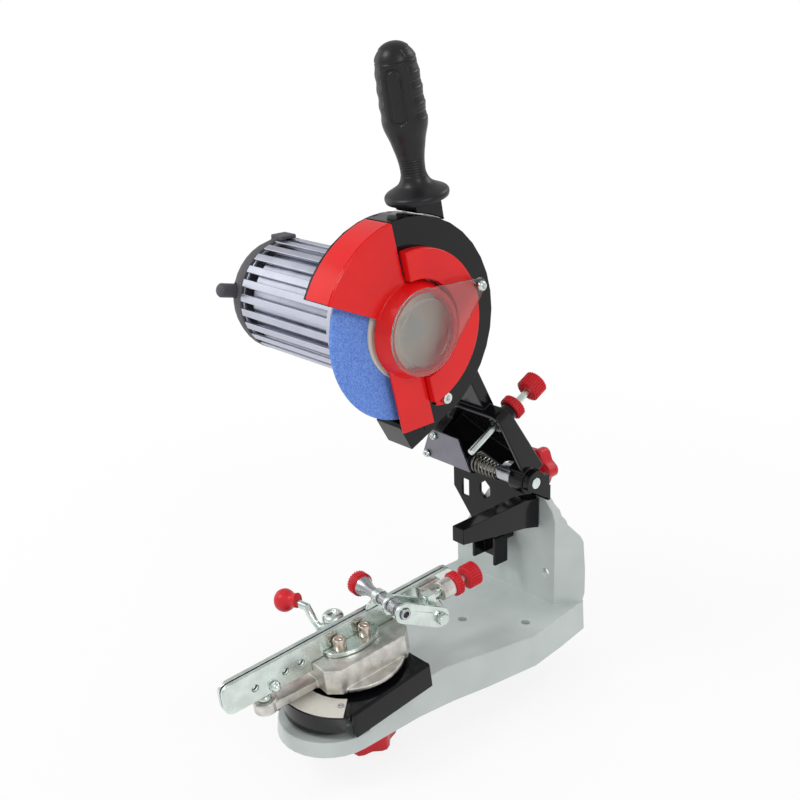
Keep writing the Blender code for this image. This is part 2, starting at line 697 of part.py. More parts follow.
def build_arm(head_axis):
    """A tray, open at the front, between the hinge and the guard."""
    spread = ARM_RIGHT - ARM_LEFT
    margin = spread / 4
    arm = piece("arm_casting", prism(scaled(TRAY_SIDE_SHARES, REACH, REACH), ARM_LEFT, ARM_RIGHT), BLACK, 0.15, 0.0,
                head_axis, side_frame())
    lips = scaled(LIP_SHARES, REACH, REACH)
    shape = (ARM_RIGHT, TOP_SHARE * REACH, SHOULDER_SHARE * REACH, lips, ARM_LEFT, 2 * FOOT_SHARE * REACH)
    outline = front_view(*shape)
    keep(arm, prism(outline, -REACH, REACH), front_frame())
    box = join(arm, prism(scaled(BOX_SHARES, REACH, REACH), ARM_LEFT, -margin), HINGE @ ALONG_X)
    opening = scaled(OPEN_SHARES, REACH, REACH)
    inner_face = 0.0025
    room = [(ARM_LEFT + ARM_WALL, 2 * FOOT_SHARE * REACH), (ARM_LEFT + ARM_WALL, lips[1][1] - 2 * ARM_WALL)]
    room = room + opening + [(inner_face, FOOT_SHARE * REACH), (inner_face, 2 * FOOT_SHARE * REACH)]
    low = FOOT_SHARE * REACH + 3 * ARM_WALL
    lip_in = [(x + ARM_WALL, z - ARM_WALL) for x, z in lips]
    shelf = [(x, z + ARM_WALL) for x, z in opening]
    inner = [(ARM_RIGHT - ARM_WALL, low), (ARM_RIGHT - ARM_WALL, shape[2] - ARM_WALL),
             (ARM_RIGHT - 2 * ARM_WALL, shape[1] - ARM_WALL)] + lip_in
    inner = inner + [(lip_in[1][0], lips[1][1] - 2 * ARM_WALL)] + shelf + [(0.0, low)]
    tray = cut(arm, prism(inner, -REACH, REACH), front_frame())
    keep(tray, prism(scaled(WEB_SIDE_SHARES, REACH, REACH), ARM_LEFT, ARM_RIGHT), side_frame())
    cut(arm, prism(room, -REACH, REACH), front_frame())
    spring_room = 0.0115
    cut(arm, rod(spring_room, ARM_LEFT + ARM_WALL, inner_face, 20), HINGE @ ALONG_X)
    knuckle_r = 0.012
    knuckle = 0.015
    face = 2 * FIT
    join(arm, rod(knuckle_r, ARM_LEFT - face, ARM_LEFT + knuckle, 20), HINGE @ ALONG_X)
    join(arm, rod(knuckle_r, inner_face, ARM_RIGHT + face, 20), HINGE @ ALONG_X)
    cut(arm, rod(PIN_R + FIT, ARM_LEFT - OVERRUN, ARM_RIGHT + OVERRUN), HINGE @ ALONG_X)
    neck_right = -0.0015
    neck_left = -0.0340
    neck_top = math.sin(REACH_ANGLE + ROD_SLOPE)
    neck = scaled(NECK_SHARES, REACH, REACH)
    neck_high = REACH * (neck_top + HINGE_SHARES[1]) - GUARD_R / 2
    neck = neck + [(neck[1][0], neck_high), (neck[0][0], neck_high)]
    join(arm, prism(neck, neck_left, neck_right), side_frame())
    cut(arm, rod(GUARD_R + FIT, ARM_LEFT - OVERRUN, ARM_RIGHT + OVERRUN, 64), WHEEL @ ALONG_X)
    join(arm, rod(BOSS_R, BOSS_NEAR, BOSS_FAR), rod_matrix())
    cut(arm, rod(ROD_R + FIT, -OVERRUN, 2 * BOSS_FAR), rod_matrix())
    return box


def build_depth_screw(head_axis, rod_axis, knob_axis, lock_axis):
    lock_t = 0.0080
    knob_t = 0.0145
    lock_start = BOSS_FAR + FIT
    lock_end = lock_start + lock_t
    chamfer = ROD_R / 4
    shape = ((0.0, 0.0), (ROD_R - chamfer, 0.0), (ROD_R, chamfer), (ROD_R, ROD_L - FIT), (0.0, ROD_L - FIT))
    piece("depth_rod", turned(shape, 16), ZINC, 0.3, 1.0, rod_axis, rod_matrix())
    piece("depth_knob", fluted(KNOB_R, ROD_L, ROD_L + knob_t, 16, KNOB_GROOVE, KNOB_EDGE), RED, 0.4, 0.0,
          knob_axis, rod_matrix())
    lock = piece("depth_lock_knob", fluted(KNOB_R, lock_start, lock_end, 16, KNOB_GROOVE, KNOB_EDGE), RED, 0.4, 0.0,
                 lock_axis, rod_matrix())
    cut(lock, rod(ROD_R + FIT, lock_start - OVERRUN, lock_end + OVERRUN))


def build_arm_plate(head_axis):
    """The cover on the front of the arm's left box, and its two screws."""
    plate_t = 0.0025
    (out, low_share), (_, high_share) = BOX_SHARES[:2]
    front = out * REACH - FIT
    low = low_share * REACH + HINGE_Z
    high = high_share * REACH + HINGE_Z
    bottom = (-0.0730, -0.0140)
    top = (-0.0630, -0.0280)
    outline = [(bottom[0], low), (bottom[1], low), (top[1], high), (top[0], high)]
    face = -(front + HINGE_Y)
    piece("arm_plate", prism(outline, face, face + plate_t), (0.30, 0.29, 0.30), 0.35, 0.2, head_axis, FACING)
    head_r = 0.0035
    head_t = 0.0030
    start = face + plate_t + FIT
    places = (("plate_screw_low", 0.12, -0.0660), ("plate_screw_high", 0.82, -0.0570))
    for name, share, x in places:
        screw = ((0.0, start), (head_r, start), (head_r, start + head_t), (0.0, start + head_t))
        piece(name, turned(screw, 16), ZINC, 0.3, 1.0, head_axis, at(x, 0, low + (high - low) * share) @ FACING)


# Guard, wheel and motor

CHUTE_SHARES = ((-0.32, -0.27), (-0.165, -0.94), (0.21, -0.93), (0.095, -0.45))
BODY_SHARES = ((-0.17, -0.90), (-0.035, -1.14), (0.225, -1.02), (0.40, -0.90), (0.30, -0.75), (-0.10, -0.75))


def ring_sector(outer, inner, first, last, steps):
    """Outline of a sector of a ring."""
    return arc(0, 0, outer, first, last, steps) + arc(0, 0, inner, last, first, steps)


def build_guard(head_axis):
    back_in = GUARD_BACK + SHEET
    bore_r = 0.0240
    opening_first = 157
    opening_last = 277
    hub_r = 0.0550
    housing = piece("guard_housing", rod(hub_r, GUARD_BACK, back_in, 32), BLACK, 0.18, 0.0,
                    head_axis, WHEEL @ ALONG_X)
    mid = hub_r * 0.8
    join(housing, prism(ring_sector(GUARD_R, mid, opening_last - 360, opening_first, 24), GUARD_BACK, back_in))
    cover_first = 102
    rim_in = GUARD_R - SHEET
    overlap = SHEET / 5
    join(housing, prism(ring_sector(GUARD_R, rim_in, opening_last - 360, cover_first, 18),
                        GUARD_BACK + overlap, GUARD_FRONT))
    lip_in = 0.0600
    join(housing, prism(ring_sector(GUARD_R, lip_in, opening_last - 360, cover_first, 18),
                        GUARD_FRONT - SHEET, GUARD_FRONT + overlap / 2))
    low_body = scaled(BODY_SHARES, GUARD_R, GUARD_R)
    join(housing, prism(low_body, GUARD_BACK - overlap, GUARD_FRONT - overlap))
    sweep = WHEEL_R + SHEET
    cut(housing, rod(sweep, back_in + overlap, GUARD_FRONT - SHEET, 36))
    cut(housing, rod(bore_r, GUARD_BACK - OVERRUN, back_in + OVERRUN))

    build_red_covers(head_axis, cover_first, opening_first)


def build_red_covers(head_axis, cover_first, opening_first):
    face = GUARD_FRONT + 2 * FIT
    face_end = face + SHEET
    hub_r = 0.0385
    window_r = 0.0300
    overlap = SHEET / 5
    band = piece("guard_band",
                 prism(ring_sector(GUARD_R, window_r * 0.8, cover_first + 1, opening_first, 20), face, face_end),
                 RED, 0.25, 0.0, head_axis, WHEEL @ ALONG_X)
    rim_in = GUARD_R - SHEET
    join(band, prism(ring_sector(GUARD_R + overlap, rim_in, cover_first + 1.3, opening_first - 0.3, 20),
                     GUARD_BACK + SHEET + FIT, face + overlap))
    chute = scaled(CHUTE_SHARES, GUARD_R, GUARD_R)
    join(band, prism(chute, face + overlap, face_end + overlap / 2))
    cone_end = 0.0195
    lip_r = 0.0335
    cone = ((0.0, face + overlap), (hub_r, face + overlap), (lip_r, cone_end), (0.0, cone_end))
    join(band, turned(cone, 36))
    cut(band, rod(window_r, face - SHEET, cone_end + OVERRUN, 36))

    disc_r = 0.0626
    disc_end = 0.0150
    disc_first = -86
    disc_last = 101
    disc_in = hub_r + FIT * 2
    outline = arc(0, 0, disc_r, disc_first, disc_last, 30) + arc(0, 0, disc_in, disc_last, disc_first, 24)
    disc = piece("side_cover", prism(outline, face, disc_end), RED, 0.25, 0.0, head_axis, WHEEL @ ALONG_X)
    low_edge = [(0.27 * GUARD_R, -0.60 * GUARD_R), (0.24 * GUARD_R, -0.78 * GUARD_R),
                (0.40 * GUARD_R, -0.80 * GUARD_R), (0.42 * GUARD_R, -0.60 * GUARD_R)]
    join(disc, prism(low_edge, face + overlap, face_end))
    cut(disc, prism(inset(chute, -2 * FIT), face - OVERRUN, disc_end + OVERRUN))
    build_cap(head_axis, hub_r, cone_end, disc_end)
    build_cover_screws(head_axis, disc_end, face_end)


def build_cap(head_axis, hub_r, cone_end, disc_end):
    """The clear cap over the wheel's nut: a dished round with a pointed ear."""
    dish_r = 0.0335
    ear_y = 0.0570
    ear_z = 0.0255
    ear_r = 0.0060
    cap_t = 0.002
    start = cone_end + FIT
    away = math.degrees(math.atan2(ear_z, ear_y))
    outline = arc(0, 0, dish_r, away + 62, away + 298, 24) + arc(ear_y, ear_z, ear_r, away - 62, away + 62, 8)
    cap = piece("clear_cap", prism(outline, start, start + cap_t), (0.8, 0.8, 0.8), 0.1, 0.0,
                head_axis, WHEEL @ ALONG_X)
    dish = 0.0255
    rise = 0.0035
    bowl = ((0.0, start - rise), (dish * 0.6, start - rise), (dish, start + cap_t / 2),
            (dish, start + cap_t + rise / 3), (dish - cap_t, start + cap_t + rise / 3),
            (dish * 0.6 - cap_t, start - rise + cap_t), (0.0, start - rise + cap_t))
    cut(cap, rod(dish - cap_t / 2, start - OVERRUN, start + cap_t + OVERRUN, 28))
    join(cap, turned(bowl, 28))
    hole = 0.0022
    cut(cap, rod(hole, start - OVERRUN, start + 2 * cap_t), WHEEL @ at(0, ear_y, ear_z) @ ALONG_X)
    head_r = 0.0042
    head_t = 0.0035
    top = start + cap_t + FIT
    screw = ((0.0, disc_end + FIT), (hole - FIT, disc_end + FIT), (hole - FIT, top), (head_r, top),
             (head_r, top + head_t), (0.0, top + head_t))
    piece("cap_screw", turned(screw, 16), ZINC, 0.25, 1.0, head_axis, WHEEL @ at(0, ear_y, ear_z) @ ALONG_X)


def build_cover_screws(head_axis, disc_end, face_end):
    head_r = 0.0045
    head_t = 0.0045
    screw_y = 0.0290
    screw_z = -0.0610
    screw = ((0.0, face_end + FIT), (head_r, face_end + FIT), (head_r, face_end + head_t), (0.0, face_end + head_t))
    piece("cover_screw", turned(screw, 16), ZINC, 0.25, 1.0, head_axis,
          WHEEL @ at(0, screw_y, screw_z) @ ALONG_X)


def build_wheel(wheel_axis):
    """The spinning group: wheel, flanges, nut and shaft."""
    back = WHEEL_X - WHEEL_T
    edge = WHEEL_T / 2
    bore_r = 0.0060
    wheel_steps = 48
    shape = ((bore_r + FIT, back), (WHEEL_R - edge / 2, back), (WHEEL_R, back + edge / 2),
             (WHEEL_R, WHEEL_X - edge / 2), (WHEEL_R - edge / 2, WHEEL_X), (bore_r + FIT, WHEEL_X))
    piece("grinding_wheel", turned(shape, wheel_steps), (0.10, 0.25, 0.80), 0.9, 0.0,
          wheel_axis, WHEEL @ ALONG_X)
    flange_r = 0.0400
    flange_t = 0.0022
    seat = 0.0060
    front = WHEEL_X + FIT
    piece("outer_flange", pipe(flange_r, bore_r + FIT, front, front + flange_t, 36), WHITE, 0.7, 0.0,
          wheel_axis, WHEEL @ ALONG_X)
    piece("inner_flange", pipe(flange_r, bore_r + FIT, back - FIT - seat, back - FIT, 28), STEEL, 0.4, 1.0,
          wheel_axis, WHEEL @ ALONG_X)
    nut_across = 0.0170
    nut_start = front + flange_t + FIT
    nut_t = 0.0055
    nut_end = nut_start + nut_t
    nut = piece("wheel_nut", hexagon(nut_across, nut_start, nut_end), ZINC, 0.3, 1.0, wheel_axis, WHEEL @ ALONG_X)
    cut(nut, rod(bore_r + FIT, nut_start - OVERRUN, nut_end + OVERRUN))
    piece("motor_shaft", rod(SHAFT_R, SHAFT_TAIL, nut_end + FIT), STEEL, 0.25, 1.0, wheel_axis, WHEEL @ ALONG_X)


def build_motor(head_axis):
    """The motor: inner can, slatted housing, front flange and rear cap."""
    flange_t = 0.010
    flange_r = 0.0500
    start = GUARD_BACK - FIT
    flange_end = start - flange_t
    bore = 0.0150
    piece("motor_flange", turned(((bore, flange_end), (MOTOR_R, flange_end), (flange_r, flange_end + flange_t / 3),
                                  (flange_r, start), (bore, start)), 40),
          ZINC, 0.35, 1.0, head_axis, WHEEL @ ALONG_X)
    can_r = 0.0400
    can_end = MOTOR_END + FIT
    can = piece("motor_can", rod(can_r, can_end, flange_end - FIT, 36), RAW_CAST, 0.35, 1.0,
                head_axis, WHEEL @ ALONG_X)
    cut(can, rod(SHAFT_R + FIT, SHAFT_TAIL - 3 * FIT, flange_end + OVERRUN))
    build_slats(head_axis, flange_end, can_r)
    build_end_cap(head_axis)


def build_slats(head_axis, flange_end, can_r):
    """A tube whose wall is slotted into slats between its two end rings."""
    slats = 24
    wall = 0.0035
    end_ring = 0.0060
    slot_share = 0.42
    start = MOTOR_END + FIT
    end = flange_end - FIT
    fins = piece("motor_fins", pipe(MOTOR_R, MOTOR_R - wall, start, end, 48), ZINC, 0.3, 1.0,
                 head_axis, WHEEL @ ALONG_X)
    half = math.pi * slot_share / slats
    inner = can_r + wall / 4
    outer = MOTOR_R + wall
    bm = bmesh.new()
    for i in range(slats):
        middle = math.tau * i / slats
        corners = []
        for radius, angle in ((inner, middle - half), (outer, middle - half),
                              (outer, middle + half), (inner, middle + half)):
            corners.append((radius * math.cos(angle), radius * math.sin(angle)))
        face = bm.faces.new([bm.verts.new((x, y, start + end_ring)) for x, y in corners])
        grown = bmesh.ops.extrude_face_region(bm, geom=[face])["geom"]
        moved = [item for item in grown if isinstance(item, bmesh.types.BMVert)]
        bmesh.ops.translate(bm, verts=moved, vec=(0.0, 0.0, end - start - 2 * end_ring))
    cut(fins, mesh_of(bm))


def build_end_cap(head_axis):
    cap_r = 0.0480
    dome = 0.0210
    start = MOTOR_END
    shape = [(0.0, start), (cap_r, start), (cap_r, start - dome * 0.35), (cap_r * 0.93, start - dome * 0.75),
             (cap_r * 0.75, start - dome), (0.0, start - dome)]
    cap = piece("motor_end_cap", turned(shape[::-1], 36), (0.10, 0.10, 0.11), 0.5, 0.0,
                head_axis, WHEEL @ ALONG_X)
    gland_x = start - dome * 0.55
    gland_angle = math.radians(168)
    gland_r = 0.0060
    gland_sunk = 0.004
    gland_l = 0.0145
    gland_in = cap_r - gland_sunk
    gland_out = cap_r + gland_l
    turn = Matrix.Rotation(gland_angle - math.pi / 2, 4, "X")
    place = WHEEL @ at(gland_x) @ turn
    cut(cap, rod(gland_r + FIT, gland_in - FIT, gland_out + OVERRUN), place)
    shape = ((0.0, gland_in), (gland_r, gland_in), (gland_r, gland_out - gland_r / 2),
             (gland_r * 0.7, gland_out), (0.0, gland_out))
    piece("cable_gland", turned(shape, 20), (0.10, 0.10, 0.11), 0.5, 0.0, head_axis, place)
    lug_w = 0.015
    lug_h = 0.0035
    lug_l = 0.016
    top = cap_r + lug_h
    join(cap, block(start - dome * 0.4, start + lug_l - dome * 0.4, -lug_w / 2, lug_w / 2, cap_r * 0.9, top), WHEEL)
    cut(cap, rod(cap_r + FIT, start, start + OVERRUN + lug_l, 36))


# Handle

GRIP_SHARES = ((1.0, 0.0), (1.0, 0.035), (0.86, 0.06), (0.42, 0.085), (0.37, 0.14), (0.43, 0.28),
               (0.55, 0.42), (0.65, 0.56), (0.67, 0.68), (0.63, 0.80), (0.585, 0.88), (0.585, 0.93),
               (0.46, 0.98), (0.0, 1.0))


def build_handle(head_axis):
    """The grip above the guard, leaning a little forward, on its block."""
    lean = math.radians(10.1)
    away = math.radians(76.6)
    foot = GUARD_R + GRIP_RISE
    place = WHEEL @ at(GRIP_X, foot * math.cos(away), foot * math.sin(away)) @ Matrix.Rotation(lean, 4, "X")
    shape = [(0.0, 0.0)] + scaled(GRIP_SHARES, GRIP_R, GRIP_L)
    piece("handle_grip", turned(shape, 22), BLACK, 0.5, 0.0, head_axis, place)
    neck_w = 0.024
    neck_l = 0.026
    neck_low = -1.7 * GRIP_RISE
    neck = piece("handle_block", block(-neck_w / 2, neck_w / 2, -neck_l / 2, neck_l / 2, neck_low, -FIT),
                 BLACK, 0.3, 0.0, head_axis, place)
    cut(neck, rod(GUARD_R + FIT * 3, -2 * neck_w, 2 * neck_w, 64), WHEEL @ ALONG_X)


# Vise

def build_saddle(tilt_axis):
    """The black saddle: a tray with skirts, rocking on a round boss."""
    top = SADDLE_TOP
    plate_low = -0.0475
    low = -0.0640
    front_r = 0.0650
    side_x = 0.0455
    back_y = 0.0380
    low_r = 0.0435
    low_y = -0.0220
    wall = 0.0025
    corner = math.degrees(math.asin(side_x / front_r))
    upper = arc(0, 0, front_r, 270 - corner, 270 + corner, 16)
    lower = arc(0, low_y, low_r, 190, 350, 16)
    upper = upper + [(side_x, 0.0), (side_x, back_y), (-side_x, back_y), (-side_x, 0.0)]
    lower_side = low_r
    lower = lower + [(lower_side, 0.0), (lower_side, back_y), (-lower_side, back_y), (-lower_side, 0.0)]
    rings = [[(x, y, low) for x, y in lower], [(x, y, top) for x, y in upper]]
    saddle = piece("vise_saddle", loft(rings), BLACK, 0.12, 0.0, tilt_axis, SADDLE)
    bar_x = 0.0470
    bar_low = -0.0660
    bar_front = -0.0410
    for side in (-1, 1):
        x0 = side * bar_x
        x1 = side * (low_r - wall)
        join(saddle, block(min(x0, x1), max(x0, x1), bar_front, back_y, bar_low, top - wall / 4))
    hollow_low = arc(0, low_y, low_r - wall, 190, 350, 16)
    inner_x = 0.0417
    hollow_low = hollow_low + [(inner_x, 0.0), (inner_x, back_y + OVERRUN), (-inner_x, back_y + OVERRUN),
                               (-inner_x, 0.0)]
    cut(saddle, prism(hollow_low, bar_low - OVERRUN, plate_low))
    cut(saddle, block(-inner_x, inner_x, 2 * low_y, back_y + OVERRUN, bar_low - OVERRUN, plate_low))
    boss_x = 0.0240
    boss_l = 0.0160
    boss_r = CRADLE_R - FIT
    half = math.degrees(math.asin(boss_l / boss_r))
    seat = arc(0, 0, boss_r, 270 - half, 270 + half, 8)
    join(saddle, prism(seat + [(boss_l, plate_low + wall / 2), (-boss_l, plate_low + wall / 2)],
                       -boss_x, boss_x), SADDLE @ ALONG_X)
    cut(saddle, rod(BOLT_R + FIT, 2 * bar_low, 0.0))


def build_scale(tilt_axis):
    """The angle scale on the saddle and its rivet."""
    top = SADDLE_TOP
    scale_t = 0.0006
    outline = ring_sector(SCALE_R, SCALE_IN, 262, 312, 14)
    piece("scale_plate", prism(outline, top + FIT / 3, top + FIT / 3 + scale_t), WHITE, 0.4, 0.0,
          tilt_axis, SADDLE)
    rivet_r = 0.0025
    reach = SCALE_R * 0.8
    angle = math.radians(308)
    start = top + FIT / 3 + scale_t + FIT / 3
    rivet_t = 0.0012
    shape = ((0.0, start), (rivet_r, start), (rivet_r * 0.7, start + rivet_t), (0.0, start + rivet_t))
    piece("scale_rivet", turned(shape, 14), ZINC, 0.3, 1.0, tilt_axis,
          SADDLE @ at(reach * math.cos(angle), reach * math.sin(angle)))


def build_clamp(tilt_axis, knob_axis):
    """The bolt through the cradle with its curved washer and the knob below."""
    seat_r = CRADLE_R + CRADLE_T + FIT
    washer_t = 0.0110
    sleeve_l = 0.0170
    knob_h = 0.0190
    washer_low = FIT - seat_r - washer_t
    knob_top = washer_low - sleeve_l
    knob_low = knob_top - knob_h
    end_t = 0.0020
    bolt_end = knob_low + end_t
    head_low = SADDLE_TOP + FIT
    head_t = 0.0030
    head_r = 0.0080
    shape = ((0.0, bolt_end), (BOLT_R, bolt_end), (BOLT_R, head_low), (head_r, head_low),
             (head_r, head_low + head_t), (0.0, head_low + head_t))
    piece("clamp_bolt", turned(shape, 20), STEEL, 0.3, 1.0, tilt_axis, SADDLE)
    washer_l = 0.0120
    washer_w = 0.0140
    half = math.degrees(math.asin(washer_l / seat_r))
    outline = [(-washer_l, washer_low), (washer_l, washer_low)]
    outline = outline + arc(0, 0, seat_r, 270 + half, 270 - half, 8)
    washer = piece("clamp_washer", prism(outline, -washer_w, washer_w), STEEL, 0.4, 1.0,
                   tilt_axis, SADDLE @ ALONG_X)
    waist = 0.0045
    sleeve_r = 0.0070
    join(washer, rod(sleeve_r, knob_top + FIT, washer_low + OVERRUN), SADDLE)
    cut(washer, rod(BOLT_R + FIT, knob_top - OVERRUN, 0.0), SADDLE)
    knob = piece("clamp_knob", lobed(CLAMP_R, knob_low, knob_top, 6, waist, CLAMP_EDGE), RED, 0.35, 0.0,
                 knob_axis, SADDLE)
    cut(knob, rod(BOLT_R + FIT, bolt_end - FIT, knob_top + OVERRUN))


def build_turntable(turn_axis):
    """The raw casting that carries the jaws, with its block, lever post and foot arm."""
    disc_r = TABLE_R
    disc_low = TABLE_LOW
    disc_top = TABLE_TOP
    floor_top = -JAW_H - FIT
    near = JAW_GAP / 2 + JAW_T + FIT
    table = piece("turntable", rod(disc_r, disc_low, disc_top, 36), RAW_CAST, 0.45, 1.0, turn_axis, RAIL)
    half_l = 0.0400
    block_far = -0.0300
    block_top = -0.0180
    chamfer = 0.0090
    outline = ((-half_l, -near), (-half_l, block_far + chamfer), (-half_l + chamfer, block_far),
               (half_l - chamfer, block_far), (half_l, block_far + chamfer), (half_l, -near))
    join(table, prism(outline, disc_low + FIT, block_top))
    floor_back = 0.0200
    join(table, block(-half_l, half_l, -near - FIT, floor_back, disc_low + FIT, floor_top))
    post_r = 0.0120
    post_top = -0.0223
    join(table, rod(post_r, disc_low + FIT, post_top, 24), RAIL @ at(POST_X, POST_Y))
    arm_out = -0.0820
    arm_half = 0.0085
    arm_top = -0.0320
    boss_top = -0.0300
    boss_r = 0.0095
    join(table, block(arm_out, 0.0, -arm_half, arm_half, disc_low + 2 * FIT, arm_top))
    join(table, rod(boss_r, disc_low + FIT / 2, boss_top, 24), RAIL @ at(arm_out))
    screw_r = 0.0035
    foot_low = -0.0378
    cut(table, rod(screw_r + FIT, foot_low - FIT, 0.0), RAIL @ at(arm_out))
    seat_r = 0.0300
    seat_low = -0.0440
    bolt_r = 0.0090
    join(table, rod(seat_r, seat_low, disc_low + FIT, 24))
    cut(table, rod(bolt_r, seat_low - OVERRUN, disc_top))
    foot_r = 0.0055
    foot = ((0.0, foot_low), (screw_r, foot_low), (screw_r, boss_top + FIT), (foot_r, boss_top + FIT),
            (foot_r, -JAW_H - FIT), (0.0, -JAW_H - FIT))
    piece("foot_screw", turned(foot, 16), ZINC, 0.3, 1.0, turn_axis, RAIL @ at(arm_out))


def jaw_outline():
    """A jaw seen from its side: a long bar with round ends."""
    right = JAW_L - JAW_OUT
    corner = JAW_H * 0.42
    corners = ((-JAW_OUT, -JAW_H), (right, -JAW_H), (right, 0.0), (-JAW_OUT, 0.0))
    return rounded(corners, corner, 5)


def build_jaws(turn_axis, jaw_axis, lever_axis):
    inner = JAW_GAP / 2
    hole_r = 0.0030
    hole_z = -0.0140
    holes = (-0.0890, -0.0620, -0.0480)
    fixed = piece("fixed_jaw", prism(jaw_outline(), inner, inner + JAW_T), ZINC, 0.25, 1.0,
                  turn_axis, RAIL @ FACING)
    moving = piece("moving_jaw", prism(jaw_outline(), -inner - JAW_T, -inner), ZINC, 0.25, 1.0,
                   jaw_axis, RAIL @ FACING)
    for jaw in (fixed, moving):
        for x in holes:
            cut(jaw, rod(hole_r, -JAW_H, JAW_H, 16), RAIL @ at(x, 0, hole_z) @ FACING)
    pad_left = -0.0080
    pad_right = 0.0100
    pad_low = -0.0222
    pad_high = -0.0120
    pad_end = 0.0146
    join(moving, block(pad_left, pad_right, inner + JAW_T / 2, pad_end, pad_low, pad_high), RAIL)
    build_jaw_plate(turn_axis, inner)
    build_lever(turn_axis, lever_axis)
    bolt_x = -0.0740
    bolt_z = -0.0200
    shank_r = 0.0025
    for jaw in (fixed, moving):
        cut(jaw, rod(shank_r + FIT, -JAW_H, JAW_H, 16), RAIL @ at(bolt_x, 0, bolt_z) @ FACING)
    face = inner + JAW_T + FIT
    head_r = 0.0045
    head_t = 0.0040
    head_end = face + head_t
    bolt = ((0.0, -face), (shank_r, -face), (shank_r, face), (head_r, face), (head_r, head_end),
            (head_r * 0.6, head_end + head_r / 2), (0.0, head_end + head_r / 2))
    piece("rail_bolt", turned(bolt, 12), ZINC, 0.3, 1.0, turn_axis, RAIL @ at(bolt_x, 0, bolt_z) @ FACING)


def build_jaw_plate(turn_axis, inner):
    """The half-round plate that clamps the fixed jaw, and its two socket screws."""
    low = -0.0180 + FIT
    top = -0.0140
    near = -(inner + JAW_T + FIT)
    half_l = 0.0250
    bulge = 0.0150
    middle = -0.0030
    straight = 0.001
    outline = [(middle + half_l, near), (middle - half_l, near)]
    outline = outline + [(middle - half_l * math.cos(math.radians(a)),
                          near - straight - bulge * math.sin(math.radians(a))) for a in range(0, 181, 15)]
    piece("jaw_plate", prism(outline, low, top), ZINC, 0.3, 1.0, turn_axis, RAIL)
    screw_y = -0.0102
    head_r = 0.0052
    head_top = -0.0050
    socket_r = 0.0028
    socket_low = -0.0080
    shape = ((0.0, top + FIT), (head_r, top + FIT), (head_r, head_top), (socket_r, head_top),
             (socket_r, socket_low), (0.0, socket_low))
    apart = 0.0240
    for name, x in (("jaw_screw_left", -apart * 2 / 3), ("jaw_screw_right", apart / 3)):
        piece(name, turned(shape, 20), STEEL, 0.25, 1.0, turn_axis, RAIL @ at(x, screw_y))


LEVER_SHARES = ((-0.145, 0.018, -0.636), (-0.45, 0.145, -0.60), (-0.51, 0.327, -0.291),
                (-0.49, 0.545, -0.073), (-0.62, 0.80, 0.0))


def build_lever(turn_axis, lever_axis):
    """The cam lever behind the moving jaw."""
    post = at(POST_X, POST_Y)
    cam_r = 0.0085
    throw = 0.0016
    low = -0.0220
    high = -0.0130
    cam = piece("cam_lever", rod(cam_r, low, high, 24), ZINC, 0.35, 1.0, lever_axis,
                RAIL @ post @ at(0, -throw, 0))
    pivot_r = 0.0040
    join(cam, rod(cam_r * 0.9, low + FIT, high + FIT, 24), RAIL @ post)
    rod_r = 0.0034
    stretch = 0.0275
    spine = [Vector(point) * stretch for point in LEVER_SHARES]
    join(cam, tube_along(spine, rod_r, 10), RAIL @ post)
    cut(cam, rod(pivot_r + FIT, low - OVERRUN, high + OVERRUN), RAIL @ post)
    way = (spine[-1] - spine[-2]).normalized()
    turn = way.to_track_quat("Z", "Y").to_matrix().to_4x4()
    ball_r = 0.0095
    neck_r = 0.0060
    length = 0.0210
    shape = ((0.0, FIT), (neck_r, FIT), (neck_r, length * 0.25), (ball_r, length * 0.55),
             (ball_r * 0.92, length * 0.78), (ball_r * 0.6, length * 0.95), (0.0, length))
    piece("lever_ball", turned(shape, 24), RED, 0.3, 0.0, lever_axis,
          RAIL @ post @ at(*spine[-1]) @ turn)
    head_r = 0.0090
    head_low = high + 2 * FIT
    head_t = 0.0050
    bolt = ((0.0, low), (pivot_r, low), (pivot_r, head_low), (head_r, head_low),
            (head_r, head_low + head_t * 0.7), (head_r * 0.8, head_low + head_t), (0.0, head_low + head_t))
    piece("lever_bolt", turned(bolt, 24), ZINC, 0.3, 1.0, turn_axis, RAIL @ post)


def tube_along(spine, radius, sides):
    """A round bar lofted along a few points."""
    rings = []
    for i, point in enumerate(spine):
        way = (spine[min(i + 1, len(spine) - 1)] - spine[max(i - 1, 0)]).normalized()
        side = way.cross(Vector((0.0, 0.0, 1.0))).normalized()
        up = side.cross(way)
        ring = []
        for k in range(sides):
            angle = math.tau * k / sides
            ring.append(point + (side * math.cos(angle) + up * math.sin(angle)) * radius)
        rings.append(ring)
    return loft(rings)


# Chain stop

STOP_X = 0.0620
STOP_Z = -0.0140
SHAFT_X = 0.0295
SHAFT_Z = 0.0070
ADJUST_Y = -0.0260
ADJUST_R = 0.0030
BOSS_START = 0.0720
BOSS_END = 0.0840
STOP_KNOB_R = 0.0100
STOP_HALF = 0.0085


